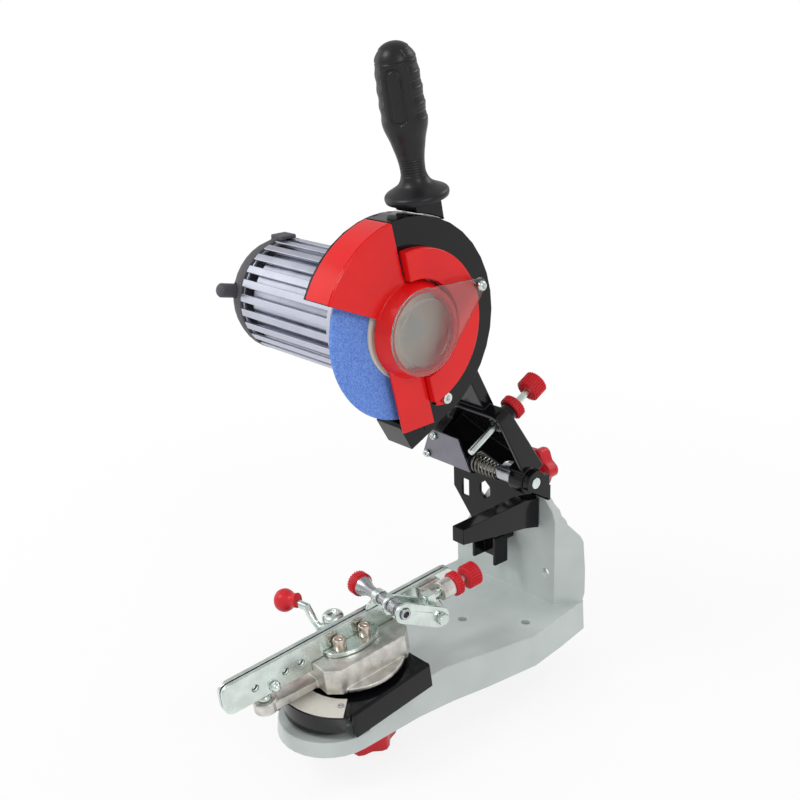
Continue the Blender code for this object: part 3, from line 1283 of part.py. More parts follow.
def build_stop_mount(turn_axis):
    """The bracket on the fixed jaw whose boss guides the adjuster."""
    near = -(JAW_GAP / 2 + JAW_T + FIT)
    pad_t = 0.0030
    pad_left = 0.0660
    pad_right = 0.0870
    pad_low = -0.0240
    pad_high = -0.0030
    mount = piece("stop_mount", block(pad_left, pad_right, near - pad_t, near, pad_low, pad_high), RAW_CAST,
                  0.4, 1.0, turn_axis, RAIL)
    boss_r = 0.0078
    neck = boss_r * 0.8
    root_y = near - pad_t / 2
    root = [(pad_left + pad_t, root_y, pad_low + pad_t), (pad_right - pad_t, root_y, pad_low + pad_t),
            (pad_right - pad_t, root_y, pad_high - pad_t), (pad_left + pad_t, root_y, pad_high - pad_t)]
    tip = [(BOSS_START + pad_t / 2, ADJUST_Y, -neck), (BOSS_END - pad_t / 2, ADJUST_Y, -neck),
           (BOSS_END - pad_t / 2, ADJUST_Y, neck), (BOSS_START + pad_t / 2, ADJUST_Y, neck)]
    join(mount, loft([root, tip]))
    join(mount, rod(boss_r, BOSS_START, BOSS_END, 24), RAIL @ at(0, ADJUST_Y) @ ALONG_X)
    cut(mount, rod(ADJUST_R + FIT, BOSS_START - OVERRUN, BOSS_END + OVERRUN), RAIL @ at(0, ADJUST_Y) @ ALONG_X)


def build_adjuster(slide_axis, knob_axis, lock_axis):
    """The carriage rod, its end block and the two red knobs."""
    start = 0.0560
    rod_end = 0.0980
    block_r = 0.0050
    carriage = piece("adjuster_rod", rod(ADJUST_R, start, rod_end - FIT, 16), ZINC, 0.3, 1.0,
                     slide_axis, RAIL @ at(0, ADJUST_Y) @ ALONG_X)
    half_y = 0.0045
    join(carriage, block(STOP_X - block_r, STOP_X + block_r * 0.6, ADJUST_Y - half_y, ADJUST_Y + half_y,
                         STOP_Z - block_r, block_r * 0.9), RAIL)
    bolt_r = 0.0030
    cut(carriage, rod(bolt_r + FIT, 0.0, 2 * JAW_H, 16), RAIL @ at(STOP_X, 0, STOP_Z) @ FACING)
    lock_start = BOSS_END + FIT
    lock_end = 0.0915
    place = RAIL @ at(0, ADJUST_Y) @ ALONG_X
    lock = piece("adjuster_lock_knob", fluted(STOP_KNOB_R, lock_start, lock_end, 16, KNOB_GROOVE, KNOB_EDGE), RED,
                 0.4, 0.0, lock_axis, place)
    cut(lock, rod(ADJUST_R + FIT, lock_start - OVERRUN, lock_end + OVERRUN, 16))
    knob_end = 0.1100
    piece("adjuster_knob", fluted(STOP_KNOB_R, rod_end, knob_end, 16, KNOB_GROOVE, KNOB_EDGE), RED, 0.4, 0.0,
          knob_axis, place)


FINGER_SHARES = ((0.31, 0.0), (0.77, 0.15), (1.0, 0.48), (0.85, 0.51), (0.0, 0.46))


def build_stop(slide_axis, lift_axis, pawl_axis):
    """The lifting stop: a folded link, its shaft with a red cap, the pawl and the link's bolt."""
    near_in = 0.0355
    near_out = 0.0380
    far_in = 0.0190
    far_out = 0.0215
    half = STOP_HALF
    way = Vector((SHAFT_X - STOP_X, SHAFT_Z - STOP_Z))
    length = way.length
    way.normalize()
    side = Vector((-way.y, way.x))
    middle = Vector((STOP_X, STOP_Z))
    turn = math.degrees(math.atan2(way.y, way.x))
    outline = arc(STOP_X, STOP_Z, half, turn + 90, turn + 270, 8)
    tip = middle + way * length
    outline = outline + arc(tip.x, tip.y, half, turn - 90, turn + 90, 8)
    link = piece("stop_link", prism(outline, near_in, near_out), ZINC, 0.3, 1.0, lift_axis, RAIL @ FACING)
    join(link, prism(outline, far_in, far_out))
    strap_t = 0.0020
    a = middle + way * (length * 0.45) + side * (half - strap_t)
    b = middle + way * (length * 0.85) + side * (half - strap_t)
    strap = (tuple(a), tuple(b), tuple(b + side * (strap_t - FIT)), tuple(a + side * (strap_t - FIT)))
    join(link, prism(strap, far_in + strap_t / 2, near_out - strap_t / 2))
    bolt_r = 0.0030
    cut(link, rod(bolt_r + FIT, 0.0, 2 * near_out, 16), RAIL @ at(STOP_X, 0, STOP_Z) @ FACING)
    shaft_r = 0.0045
    cut(link, rod(shaft_r + FIT, 0.0, 2 * near_out, 20), RAIL @ at(SHAFT_X, 0, SHAFT_Z) @ FACING)
    head = near_out + FIT
    nut_r = 0.0050
    tail = far_in - bolt_r
    nut_t = 0.0045
    bolt = ((0.0, tail), (bolt_r, tail), (bolt_r, head), (nut_r, head), (nut_r, head + nut_t), (0.0, head + nut_t))
    piece("link_bolt", turned(bolt, 12), ZINC, 0.3, 1.0, slide_axis, RAIL @ at(STOP_X, 0, STOP_Z) @ FACING)

    end = 0.0400
    socket_r = 0.0026
    socket = 0.0330
    flare_r = 0.0082
    flare = -0.0180
    neck = -0.0080
    cap_end = -0.0275
    collar_r = 0.0062
    collar = (0.0220, 0.0300)
    shape = ((0.0, socket), (socket_r, socket), (socket_r, end), (shaft_r, end), (shaft_r, collar[1]),
             (collar_r, collar[1]), (collar_r, collar[0]), (shaft_r, collar[0]), (shaft_r, neck),
             (flare_r, flare), (0.0, flare))
    place = RAIL @ at(SHAFT_X, 0, SHAFT_Z) @ FACING
    piece("stop_shaft", turned(shape[::-1], 24), (0.35, 0.36, 0.38), 0.15, 1.0, lift_axis, place)
    cap_r = 0.0098
    piece("stop_cap", fluted(cap_r, cap_end, flare - FIT, 16, KNOB_GROOVE, KNOB_EDGE), RED, 0.4, 0.0, lift_axis, place)
    ring_r = 0.0064
    pawl_start = 0.0010
    pawl_end = 0.0070
    pawl = piece("stop_pawl", rod(ring_r, pawl_start, pawl_end, 24), ZINC, 0.3, 1.0, pawl_axis, place)
    finger_l = 0.0130
    finger = scaled(FINGER_SHARES, -finger_l, -finger_l)
    join(pawl, prism(finger[::-1], pawl_start + FIT, pawl_start + ring_r / 2))
    cut(pawl, rod(shaft_r + FIT, pawl_start - OVERRUN, pawl_end + OVERRUN, 24))


def build_all():
    clear_scene()
    build_base()
    tilt_axis = axis_empty("head_tilt_axis", TILT)
    lock_axis = axis_empty("tilt_lock_axis", at(*lock_place()))
    build_bracket(tilt_axis)
    build_tilt_lock(tilt_axis, lock_axis)
    build_hinge(tilt_axis)

    head_axis = axis_empty("head_swing_axis", HINGE, tilt_axis)
    build_arm(head_axis)
    build_arm_plate(head_axis)
    rod_axis = axis_empty("depth_rod_axis", rod_matrix(), head_axis)
    knob_axis = axis_empty("depth_knob_axis", rod_matrix(), rod_axis)
    depth_lock_axis = axis_empty("depth_lock_axis", rod_matrix(), head_axis)
    build_depth_screw(head_axis, rod_axis, knob_axis, depth_lock_axis)
    build_guard(head_axis)
    build_motor(head_axis)
    build_handle(head_axis)
    wheel_axis = axis_empty("wheel_axis", WHEEL, head_axis)
    build_wheel(wheel_axis)

    vise_axis = axis_empty("vise_tilt_axis", SADDLE)
    build_saddle(vise_axis)
    build_scale(vise_axis)
    clamp_axis = axis_empty("clamp_knob_axis", SADDLE, vise_axis)
    build_clamp(vise_axis, clamp_axis)
    turn_axis = axis_empty("vise_turn_axis", RAIL, vise_axis)
    build_turntable(turn_axis)
    jaw_axis = axis_empty("jaw_slide_axis", RAIL, turn_axis)
    lever_axis = axis_empty("lever_axis", RAIL @ at(POST_X, POST_Y), turn_axis)
    build_jaws(turn_axis, jaw_axis, lever_axis)
    build_stop_mount(turn_axis)
    slide_axis = axis_empty("adjuster_slide_axis", RAIL @ at(0, ADJUST_Y), turn_axis)
    turn_knob_axis = axis_empty("adjuster_knob_axis", RAIL @ at(0, ADJUST_Y), slide_axis)
    turn_lock_axis = axis_empty("adjuster_lock_axis", RAIL @ at(0, ADJUST_Y), turn_axis)
    build_adjuster(slide_axis, turn_knob_axis, turn_lock_axis)
    lift_axis = axis_empty("stop_lift_axis", RAIL @ at(STOP_X, 0, STOP_Z), slide_axis)
    pawl_axis = axis_empty("pawl_axis", RAIL @ at(SHAFT_X, 0, SHAFT_Z), lift_axis)
    build_stop(slide_axis, lift_axis, pawl_axis)


build_all()
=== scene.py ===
"""Looks of the electric chainsaw sharpener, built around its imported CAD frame.

Lengths are metres and +Z is up, as in the frame. Every piece takes its place from the CAD's
nodes and joints, and carries its place in its mesh.
"""

import json
import math

import bmesh
import bpy
from mathutils import Matrix, Vector


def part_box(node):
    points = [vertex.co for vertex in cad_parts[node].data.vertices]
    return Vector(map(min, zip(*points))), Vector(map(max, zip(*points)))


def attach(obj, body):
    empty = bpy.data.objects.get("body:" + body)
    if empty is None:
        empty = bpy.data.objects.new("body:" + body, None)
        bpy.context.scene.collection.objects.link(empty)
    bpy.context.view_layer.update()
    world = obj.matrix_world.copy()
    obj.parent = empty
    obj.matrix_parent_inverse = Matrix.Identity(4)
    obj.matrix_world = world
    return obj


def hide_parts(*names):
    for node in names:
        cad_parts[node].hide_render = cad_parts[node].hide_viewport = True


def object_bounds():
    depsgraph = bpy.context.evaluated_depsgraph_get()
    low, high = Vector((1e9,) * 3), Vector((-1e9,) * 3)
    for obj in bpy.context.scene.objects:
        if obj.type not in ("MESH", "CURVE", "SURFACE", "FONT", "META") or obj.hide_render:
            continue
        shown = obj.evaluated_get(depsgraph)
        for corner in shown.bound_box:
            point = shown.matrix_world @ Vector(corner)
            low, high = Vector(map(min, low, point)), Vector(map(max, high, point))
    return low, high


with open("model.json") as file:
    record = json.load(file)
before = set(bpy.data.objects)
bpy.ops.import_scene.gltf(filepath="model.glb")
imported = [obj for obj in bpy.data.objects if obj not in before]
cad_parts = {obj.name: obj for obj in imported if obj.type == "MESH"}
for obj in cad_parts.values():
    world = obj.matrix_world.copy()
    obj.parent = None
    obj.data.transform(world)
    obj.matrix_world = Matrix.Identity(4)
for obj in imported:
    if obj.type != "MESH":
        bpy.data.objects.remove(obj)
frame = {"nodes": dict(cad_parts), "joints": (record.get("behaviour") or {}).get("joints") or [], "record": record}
CAD_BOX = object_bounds()

bl_info = {
    "name": "Chainsaw sharpener",
    "version": (1, 0, 0),
    "blender": (4, 5, 0),
    "location": "3D View > Sidebar > Sharpener",
    "description": "Dresses the CAD frame of a bench chainsaw sharpener in its real finishes",
    "category": "Object",
}

NODES = frame["nodes"]
RECORD = frame["record"]
JOINTS = {joint["name"]: joint for joint in frame["joints"]}
SLOTS = {part["node"]: part["material_slot"] for part in RECORD["subparts"]}
BODIES = {node: body for body, nodes in RECORD["behaviour"]["bodies"].items() for node in nodes}
FULL = math.tau


def linear(text):
    """A colour written as sRGB hex, as linear red, green and blue."""
    values = [int(text[i:i + 2], 16) / 255 for i in (1, 3, 5)]
    return tuple(v / 12.92 if v <= 0.04045 else ((v + 0.055) / 1.055) ** 2.4 for v in values)


def colour_property(name, description, text):
    return bpy.props.FloatVectorProperty(name=name, description=description, subtype="COLOR", size=3,
                                         min=0.0, max=1.0, default=linear(text))


def length_property(name, description, default):
    return bpy.props.FloatProperty(name=name, description=description, default=default,
                                   unit="LENGTH", precision=5)


# Settings that a user would change

class SharpenerColours(bpy.types.PropertyGroup):
    """Colours of the finishes."""
    grey: colour_property("Grey enamel", "Stove enamel of the base casting", "#C3CBC9")
    black: colour_property("Black enamel", "Stove enamel of arm, guard, bracket and saddle", "#0D0D10")
    red: colour_property("Red enamel", "Stove enamel of the wheel's covers", "#E3181A")
    nylon: colour_property("Red nylon", "Moulded nylon of the knobs", "#D0202C")
    zinc: colour_property("Zinc plate", "Bright zinc plate of jaws, link and screws", "#DCE6E1")
    brass: colour_property("Yellow zinc", "Yellow zinc plate of the jaw screws", "#CFC0B4")
    steel: colour_property("Turned steel", "Bare turned steel", "#B9BBBE")
    cast: colour_property("Die-cast aluminium", "Raw casting of turntable and boss", "#DBD8D2")
    satin: colour_property("Satin aluminium", "Slats and can of the motor", "#C6C9D6")
    plastic: colour_property("Black ABS", "End cap of the motor", "#4E4D53")
    grip: colour_property("Soft grip", "Rubbery moulding of the handle", "#17171A")
    grit: colour_property("Blue abrasive", "Vitrified grit of the wheel", "#5B92F4")
    paper: colour_property("Blotting paper", "Washer under the wheel's flange", "#E2DACB")
    lacquer: colour_property("Scale lacquer", "White lacquer of the angle scale", "#D9D5CC")
    sheet: colour_property("Rolled sheet", "Plate under the arm", "#85838C")
    spring: colour_property("Spring steel", "Wire of the return spring", "#8D8780")


class SharpenerSizes(bpy.types.PropertyGroup):
    """Sizes of the details."""
    base_edge: length_property("Base edge", "Radius of the base casting's edges", 0.0009)
    cast_edge: length_property("Casting edge", "Radius of the arm's and guard's edges", 0.0011)
    sheet_edge: length_property("Sheet edge", "Radius of folded and punched sheet edges", 0.0005)
    turned_edge: length_property("Turned edge", "Chamfer of turned pieces", 0.0003)
    flute: length_property("Flute depth", "Depth of the grooves in a knob's rim", 0.0009)
    wire: length_property("Spring wire", "Radius of the return spring's wire", 0.00105)
    coil: length_property("Spring coil", "Radius of the return spring at its wire's middle", 0.0089)
    slat_gap: length_property("Slat gap", "Gap between two slats of the motor", 0.0060)
    flutes: bpy.props.IntProperty(name="Flutes", description="Grooves round a knob's rim", default=26, min=6)
    slats: bpy.props.IntProperty(name="Slats", description="Slats round the motor", default=24, min=6)
    turns: bpy.props.FloatProperty(name="Turns", description="Turns of the return spring", default=6.5)


# Meshes

def mesh_object(name, mesh):
    thing = bpy.data.objects.new(name, mesh)
    bpy.context.scene.collection.objects.link(thing)
    return thing


def from_bmesh(name, bm):
    bmesh.ops.recalc_face_normals(bm, faces=bm.faces)
    mesh = bpy.data.meshes.new(name)
    bm.to_mesh(mesh)
    bm.free()
    return mesh_object(name, mesh)


def frame_of(origin, axis, side=Vector((0, 0, 1))):
    """A matrix at origin with its Z along axis and its X near side."""
    z = Vector(axis).normalized()
    x = (Vector(side) - z * z.dot(Vector(side))).normalized()
    y = z.cross(x)
    turn = Matrix((x, y, z)).transposed().to_4x4()
    return Matrix.Translation(origin) @ turn


def joint_frame(name):
    joint = JOINTS[name]
    return frame_of(joint["pos_m"], joint["axis"])


def extent(node, place):
    """How far a CAD node reaches along a place's Z, and its greatest radius round it."""
    local = place.inverted()
    points = [local @ vert.co for vert in NODES[node].data.vertices]
    heights = [point.z for point in points]
    return min(heights), max(heights), max(math.hypot(point.x, point.y) for point in points)


def lathe(name, profile, place, steps=64):
    """Turn (radius, height) points round a place's Z."""
    bm = bmesh.new()
    verts = [bm.verts.new((radius, 0.0, height)) for radius, height in profile]
    edges = [bm.edges.new(pair) for pair in zip(verts, verts[1:])]
    if profile[0][0] > 0:
        edges.append(bm.edges.new((verts[-1], verts[0])))
    bmesh.ops.spin(bm, geom=verts + edges, cent=(0, 0, 0), axis=(0, 0, 1), angle=FULL,
                   steps=steps, use_merge=True)
    bmesh.ops.remove_doubles(bm, verts=bm.verts, dist=0.000001)
    bm.transform(place)
    return from_bmesh(name, bm)


def extruded(name, outline, start, end, place):
    """A plate with the outline in a place's XY."""
    bm = bmesh.new()
    face = bm.faces.new([bm.verts.new((x, y, start)) for x, y in outline])
    grown = bmesh.ops.extrude_face_region(bm, geom=[face])["geom"]
    moved = [item for item in grown if isinstance(item, bmesh.types.BMVert)]
    bmesh.ops.translate(bm, verts=moved, vec=(0.0, 0.0, end - start))
    bm.transform(place)
    return from_bmesh(name, bm)


def lofted(name, rings, place):
    """Skin rings of equal counts, capped at both ends."""
    bm = bmesh.new()
    loops = [[bm.verts.new(point) for point in ring] for ring in rings]
    for low, high in zip(loops, loops[1:]):
        for i in range(len(low)):
            j = (i + 1) % len(low)
            bm.faces.new((low[i], low[j], high[j], high[i]))
    bm.faces.new(loops[0])
    bm.faces.new(loops[-1])
    bm.transform(place)
    return from_bmesh(name, bm)


def hoop(radius, height, steps=24):
    """Points of a circle round Z."""
    angles = [FULL * i / steps for i in range(steps)]
    return [(radius * math.cos(a), radius * math.sin(a), height) for a in angles]


def hexagon(corner, height, steps=24):
    """Points round a hexagon, as many as a hoop's."""
    points = []
    per_side = steps // 6
    for i in range(steps):
        side, part = divmod(i, per_side)
        first = FULL * side / 6
        last = FULL * (side + 1) / 6
        share = part / per_side
        across = math.cos(first) * (1 - share) + math.cos(last) * share
        along = math.sin(first) * (1 - share) + math.sin(last) * share
        points.append((corner * across, corner * along, height))
    return points


def smooth_run(points, pitch):
    """A smooth curve through points, cut at about even steps."""
    ends = [points[0]] + list(points) + [points[-1]]
    fine = []
    for a, b, c, d in zip(ends, ends[1:], ends[2:], ends[3:]):
        span = math.dist(b, c)
        count = max(1, round(span / pitch))
        for i in range(count):
            t = i / count
            fine.append(tuple(0.5 * (2 * q + (r - p) * t + (2 * p - 5 * q + 4 * r - s) * t ** 2
                                     + (3 * q - p - 3 * r + s) * t ** 3) for p, q, r, s in zip(a, b, c, d)))
    return fine + [tuple(points[-1])]


def copy_of(node, near=0.00002):
    """A copy of a CAD node with points nearer than near merged and its flat faces joined up."""
    source = NODES[node].data
    bm = bmesh.new()
    verts = [bm.verts.new(vert.co) for vert in source.vertices]
    for polygon in source.polygons:
        bm.faces.new([verts[i] for i in polygon.vertices])
    bmesh.ops.remove_doubles(bm, verts=bm.verts, dist=near)
    bmesh.ops.dissolve_degenerate(bm, edges=bm.edges, dist=0.00004)
    bmesh.ops.dissolve_limit(bm, angle_limit=math.radians(1.5), verts=bm.verts, edges=bm.edges)
    return from_bmesh(node + "_copy", bm)


def add_bevel(thing, width, segments=3, angle=32.0):
    step = thing.modifiers.new("edges", "BEVEL")
    step.width = width
    step.segments = segments
    step.limit_method = "ANGLE"
    step.angle_limit = math.radians(angle)
    step.use_clamp_overlap = False
    step.miter_outer = "MITER_ARC"
    return step


def settle(thing, name):
    """Replace an object by a plain mesh of what its modifiers make, with clean shading."""
    for polygon in thing.data.polygons:
        polygon.use_smooth = True
    step = thing.modifiers.new("shading", "WEIGHTED_NORMAL")
    step.weight = 80
    step.keep_sharp = True
    deps = bpy.context.evaluated_depsgraph_get()
    mesh = bpy.data.meshes.new_from_object(thing.evaluated_get(deps), depsgraph=deps)
    mesh.name = name
    result = mesh_object(name, mesh)
    bpy.data.objects.remove(thing, do_unlink=True)
    return result


def joined(things, name):
    """One mesh from several objects."""
    bm = bmesh.new()
    for thing in things:
        bm.from_mesh(thing.data)
        bpy.data.objects.remove(thing, do_unlink=True)
    mesh = bpy.data.meshes.new(name)
    bm.to_mesh(mesh)
    bm.free()
    return mesh_object(name, mesh)


def stands_for(piece, finish, *nodes):
    """Show a piece in its finish in place of CAD nodes of one body."""
    piece.data.materials.clear()
    piece.data.materials.append(finish)
    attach(piece, BODIES[nodes[0]])
    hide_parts(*nodes)
    return piece


def dressed(node, name, finish, width, segments=3, angle=32.0, near=0.00002):
    """A CAD node's own form with its edges rounded."""
    thing = copy_of(node, near)
    add_bevel(thing, width, segments, angle)
    return stands_for(settle(thing, name), finish, node)


# Geometry Nodes

TREES = {}


def socket_id(tree, name):
    return next(item.identifier for item in tree.interface.items_tree if item.name == name)


def add_node(tree, kind, settings=None, values=None, links=()):
    """Add one node: its settings by attribute, its inputs by name or number, and links into it."""
    node = tree.nodes.new(kind)
    for key, value in (settings or {}).items():
        setattr(node, key, value)
    for key, value in (values or {}).items():
        node.inputs[key].default_value = value
    for source, key in links:
        tree.links.new(source, node.inputs[key])
    return node


def new_tree(name, inputs):
    """A Geometry Nodes tree with a geometry input and output and named inputs."""
    tree = bpy.data.node_groups.new(name, "GeometryNodeTree")
    tree.interface.new_socket("Geometry", in_out="INPUT", socket_type="NodeSocketGeometry")
    for label, kind in inputs:
        tree.interface.new_socket(label, in_out="INPUT", socket_type="NodeSocket" + kind)
    tree.interface.new_socket("Geometry", in_out="OUTPUT", socket_type="NodeSocketGeometry")
    return tree, tree.nodes.new("NodeGroupInput")


def end_tree(tree, geometry, given):
    """Close a tree with Realize Instances and Set Material."""
    real = add_node(tree, "GeometryNodeRealizeInstances", links=((geometry, 0),))
    paint = add_node(tree, "GeometryNodeSetMaterial",
                     links=((real.outputs[0], 0), (given.outputs["Material"], "Material")))
    add_node(tree, "NodeGroupOutput", links=((paint.outputs[0], 0),))
    return tree


def ring_tree():
    """Copies of the input geometry turned round an axis through a centre."""
    inputs = (("Count", "Int"), ("First angle", "Float"), ("Step angle", "Float"), ("Axis", "Vector"),
              ("Centre", "Vector"), ("Material", "Material"))
    tree, given = new_tree("Ring of copies", inputs)
    points = add_node(tree, "GeometryNodePoints", links=((given.outputs["Count"], "Count"),))
    copies = add_node(tree, "GeometryNodeInstanceOnPoints",
                      links=((points.outputs[0], "Points"), (given.outputs["Geometry"], "Instance")))
    index = add_node(tree, "GeometryNodeInputIndex")
    swept = add_node(tree, "ShaderNodeMath", {"operation": "MULTIPLY_ADD"},
                     links=((index.outputs[0], 0), (given.outputs["Step angle"], 1),
                            (given.outputs["First angle"], 2)))
    turn = add_node(tree, "FunctionNodeAxisAngleToRotation",
                    links=((given.outputs["Axis"], "Axis"), (swept.outputs[0], "Angle")))
    turned = add_node(tree, "GeometryNodeRotateInstances", values={"Local Space": False},
                      links=((copies.outputs[0], "Instances"), (turn.outputs[0], "Rotation"),
                             (given.outputs["Centre"], "Pivot Point")))
    return end_tree(tree, turned.outputs[0], given)


def row_tree():
    """Copies of the input geometry in a straight row."""
    tree, given = new_tree("Row of copies", (("Count", "Int"), ("Step", "Vector"), ("Material", "Material")))
    points = add_node(tree, "GeometryNodePoints", links=((given.outputs["Count"], "Count"),))
    copies = add_node(tree, "GeometryNodeInstanceOnPoints",
                      links=((points.outputs[0], "Points"), (given.outputs["Geometry"], "Instance")))
    index = add_node(tree, "GeometryNodeInputIndex")
    offset = add_node(tree, "ShaderNodeVectorMath", {"operation": "SCALE"},
                      links=((given.outputs["Step"], 0), (index.outputs[0], "Scale")))
    moved = add_node(tree, "GeometryNodeTranslateInstances", values={"Local Space": False},
                     links=((copies.outputs[0], "Instances"), (offset.outputs[0], "Translation")))
    return end_tree(tree, moved.outputs[0], given)


def coil_tree():
    """A round wire wound into a helix along a given direction."""
    inputs = (("Turns", "Float"), ("Coil radius", "Float"), ("Length", "Float"), ("Wire radius", "Float"),
              ("Turn", "Rotation"), ("Start", "Vector"), ("Material", "Material"))
    tree, given = new_tree("Wound wire", inputs)
    per_turn = 28
    round_wire = 10
    helix = add_node(tree, "GeometryNodeCurveSpiral", values={"Resolution": per_turn},
                     links=((given.outputs["Turns"], "Rotations"),
                            (given.outputs["Coil radius"], "Start Radius"),
                            (given.outputs["Coil radius"], "End Radius"),
                            (given.outputs["Length"], "Height")))
    section = add_node(tree, "GeometryNodeCurvePrimitiveCircle", values={"Resolution": round_wire},
                       links=((given.outputs["Wire radius"], "Radius"),))
    wire = add_node(tree, "GeometryNodeCurveToMesh", values={"Fill Caps": True},
                    links=((helix.outputs[0], "Curve"), (section.outputs[0], "Profile Curve")))
    placed = add_node(tree, "GeometryNodeTransform",
                      links=((wire.outputs[0], "Geometry"), (given.outputs["Start"], "Translation"),
                             (given.outputs["Turn"], "Rotation")))
    smooth = add_node(tree, "GeometryNodeSetShadeSmooth", links=((placed.outputs[0], 0),))
    return end_tree(tree, smooth.outputs[0], given)


def grown(thing, tree, values, name):
    """Run a tree on an object and keep the result as a plain mesh."""
    step = thing.modifiers.new(tree.name, "NODES")
    step.node_group = tree
    for label, value in values.items():
        step[socket_id(tree, label)] = value
    deps = bpy.context.evaluated_depsgraph_get()
    mesh = bpy.data.meshes.new_from_object(thing.evaluated_get(deps), depsgraph=deps)
    result = mesh_object(name, mesh)
    bpy.data.objects.remove(thing, do_unlink=True)
    return result


def ring_of(thing, place, count, name, finish, first=0.0):
    """Copies of a thing round a place's Z."""
    values = {"Count": count, "First angle": first, "Step angle": FULL / count,
              "Axis": tuple(place.to_3x3().col[2]), "Centre": tuple(place.translation), "Material": finish}
    return grown(thing, TREES["ring"], values, name)


def row_of(thing, step, count, name, finish):
    """Copies of a thing, a step apart."""
    return grown(thing, TREES["row"], {"Count": count, "Step": tuple(step), "Material": finish}, name)


# Materials

FINISHES = {}


def start_material(name, colour, roughness, metallic=0.0, **uniform):
    """A material with a Principled shader; returns it with its tree, shader and Object coordinates."""
    finish = bpy.data.materials.new(name)
    finish.use_nodes = True
    tree = finish.node_tree
    shader = tree.nodes["Principled BSDF"]
    shader.inputs["Base Color"].default_value = (*colour, 1.0)
    shader.inputs["Roughness"].default_value = roughness
    shader.inputs["Metallic"].default_value = metallic
    for label, value in uniform.items():
        shader.inputs[label.replace("_", " ")].default_value = value
    place = add_node(tree, "ShaderNodeTexCoord").outputs["Object"]
    return finish, tree, shader, place


def noise(tree, place, size, detail=3.0, stretch=(1.0, 1.0, 1.0)):
    """Noise whose blotches are about size across."""
    scaled = add_node(tree, "ShaderNodeMapping", values={"Scale": stretch}, links=((place, "Vector"),))
    values = {"Scale": 1 / size, "Detail": detail, "Roughness": 0.5}
    blotches = add_node(tree, "ShaderNodeTexNoise", values=values, links=((scaled.outputs[0], "Vector"),))
    return blotches.outputs[0]


def spread(tree, value, low, high, from_low=0.35, from_high=0.65):
    """Bring a pattern to a range."""
    return add_node(tree, "ShaderNodeMapRange", values={"From Min": from_low, "From Max": from_high,
                                                        "To Min": low, "To Max": high},
                    links=((value, "Value"),)).outputs[0]


def tinted(tree, shader, value, dark, light):
    """Drive the base colour between two colours."""
    mixed = add_node(tree, "ShaderNodeMix", {"data_type": "RGBA"}, links=((value, 0),))
    mixed.inputs[6].default_value = (*dark, 1.0)
    mixed.inputs[7].default_value = (*light, 1.0)
    tree.links.new(mixed.outputs[2], shader.inputs["Base Color"])


def bumped(tree, shader, value, depth, strength=1.0, normal=None):
    """Raise a pattern by a depth in metres."""
    links = [(value, "Height")]
    if normal is not None:
        links.append((normal, "Normal"))
    bump = add_node(tree, "ShaderNodeBump", values={"Strength": strength, "Distance": depth}, links=links)
    tree.links.new(bump.outputs[0], shader.inputs["Normal"])
    return bump.outputs[0]


def shade(colour, factor):
    return tuple(max(0.0, min(1.0, c * factor)) for c in colour)


def enamel(name, colour, roughness, gloss, peel, waviness, variation):
    """Stove enamel: a smooth gloss film over a casting, so its reflections waver a little."""
    finish, tree, shader, place = start_material(name, colour, roughness, Specular_IOR_Level=gloss)
    fine = noise(tree, place, peel, 2.0)
    broad = noise(tree, place, waviness, 2.0)
    tinted(tree, shader, spread(tree, broad, 0.0, 1.0), shade(colour, 1 - variation),
           shade(colour, 1 + variation))
    first = bumped(tree, shader, fine, 0.00004, 0.3)
    bumped(tree, shader, broad, 0.0003, 0.2, first)
    rough = spread(tree, noise(tree, place, waviness * 0.6), roughness * 0.85, roughness * 1.2)
    tree.links.new(rough, shader.inputs["Roughness"])
    return finish


def moulded(name, colour, roughness, grain, depth):
    """Moulded plastic: an even body colour with the fine grain of its tool."""
    finish, tree, shader, place = start_material(name, colour, roughness, Specular_IOR_Level=0.35)
    fine = noise(tree, place, grain, 2.0)
    flow = 0.014
    variation = 0.06
    broad = noise(tree, place, flow, 2.0)
    tinted(tree, shader, spread(tree, broad, 0.0, 1.0), shade(colour, 1 - variation),
           shade(colour, 1 + variation))
    bumped(tree, shader, fine, depth, 0.5)
    tree.links.new(spread(tree, fine, roughness * 0.9, roughness * 1.15), shader.inputs["Roughness"])
    return finish


def metal(name, colour, roughness, cloud, cloud_share, streak=(1.0, 1.0, 1.0), grain=0.0004,
          depth=0.00001):
    """Bare or plated metal: clouded in tone and gloss, with fine marks of its making."""
    finish, tree, shader, place = start_material(name, colour, roughness, 1.0)
    broad = noise(tree, place, cloud, 4.0)
    fine = noise(tree, place, grain, 3.0, streak)
    tinted(tree, shader, spread(tree, broad, 0.0, 1.0), shade(colour, 1 - cloud_share),
           shade(colour, 1 + cloud_share / 2))
    bumped(tree, shader, fine, depth, 0.6)
    half = {"operation": "MULTIPLY_ADD"}
    broad_half = add_node(tree, "ShaderNodeMath", half, {1: 0.5, 2: 0.0}, ((broad, 0),)).outputs[0]
    total = add_node(tree, "ShaderNodeMath", half, {1: 0.5}, ((fine, 0), (broad_half, 2))).outputs[0]
    tree.links.new(spread(tree, total, roughness * 0.7, roughness * 1.35), shader.inputs["Roughness"])
    return finish


def abrasive(colour):
    """Vitrified grit: matt bonded grains."""
    finish, tree, shader, place = start_material("blue vitrified abrasive", colour, 0.9)
    # The real grit is about 0.25 mm; it is drawn coarser so that it shows
    grain = 0.0009
    relief = 0.0002
    grains = add_node(tree, "ShaderNodeTexVoronoi", values={"Scale": 1 / grain}, links=((place, "Vector"),))
    tone = add_node(tree, "ShaderNodeSeparateColor", links=((grains.outputs["Color"], 0),)).outputs[0]
    light = tuple(0.80 * c + 0.13 for c in colour)
    tinted(tree, shader, spread(tree, tone, 0.0, 1.0, 0.0, 1.0), shade(colour, 0.72), light)
    bumped(tree, shader, grains.outputs["Distance"], relief, 0.6)
    return finish


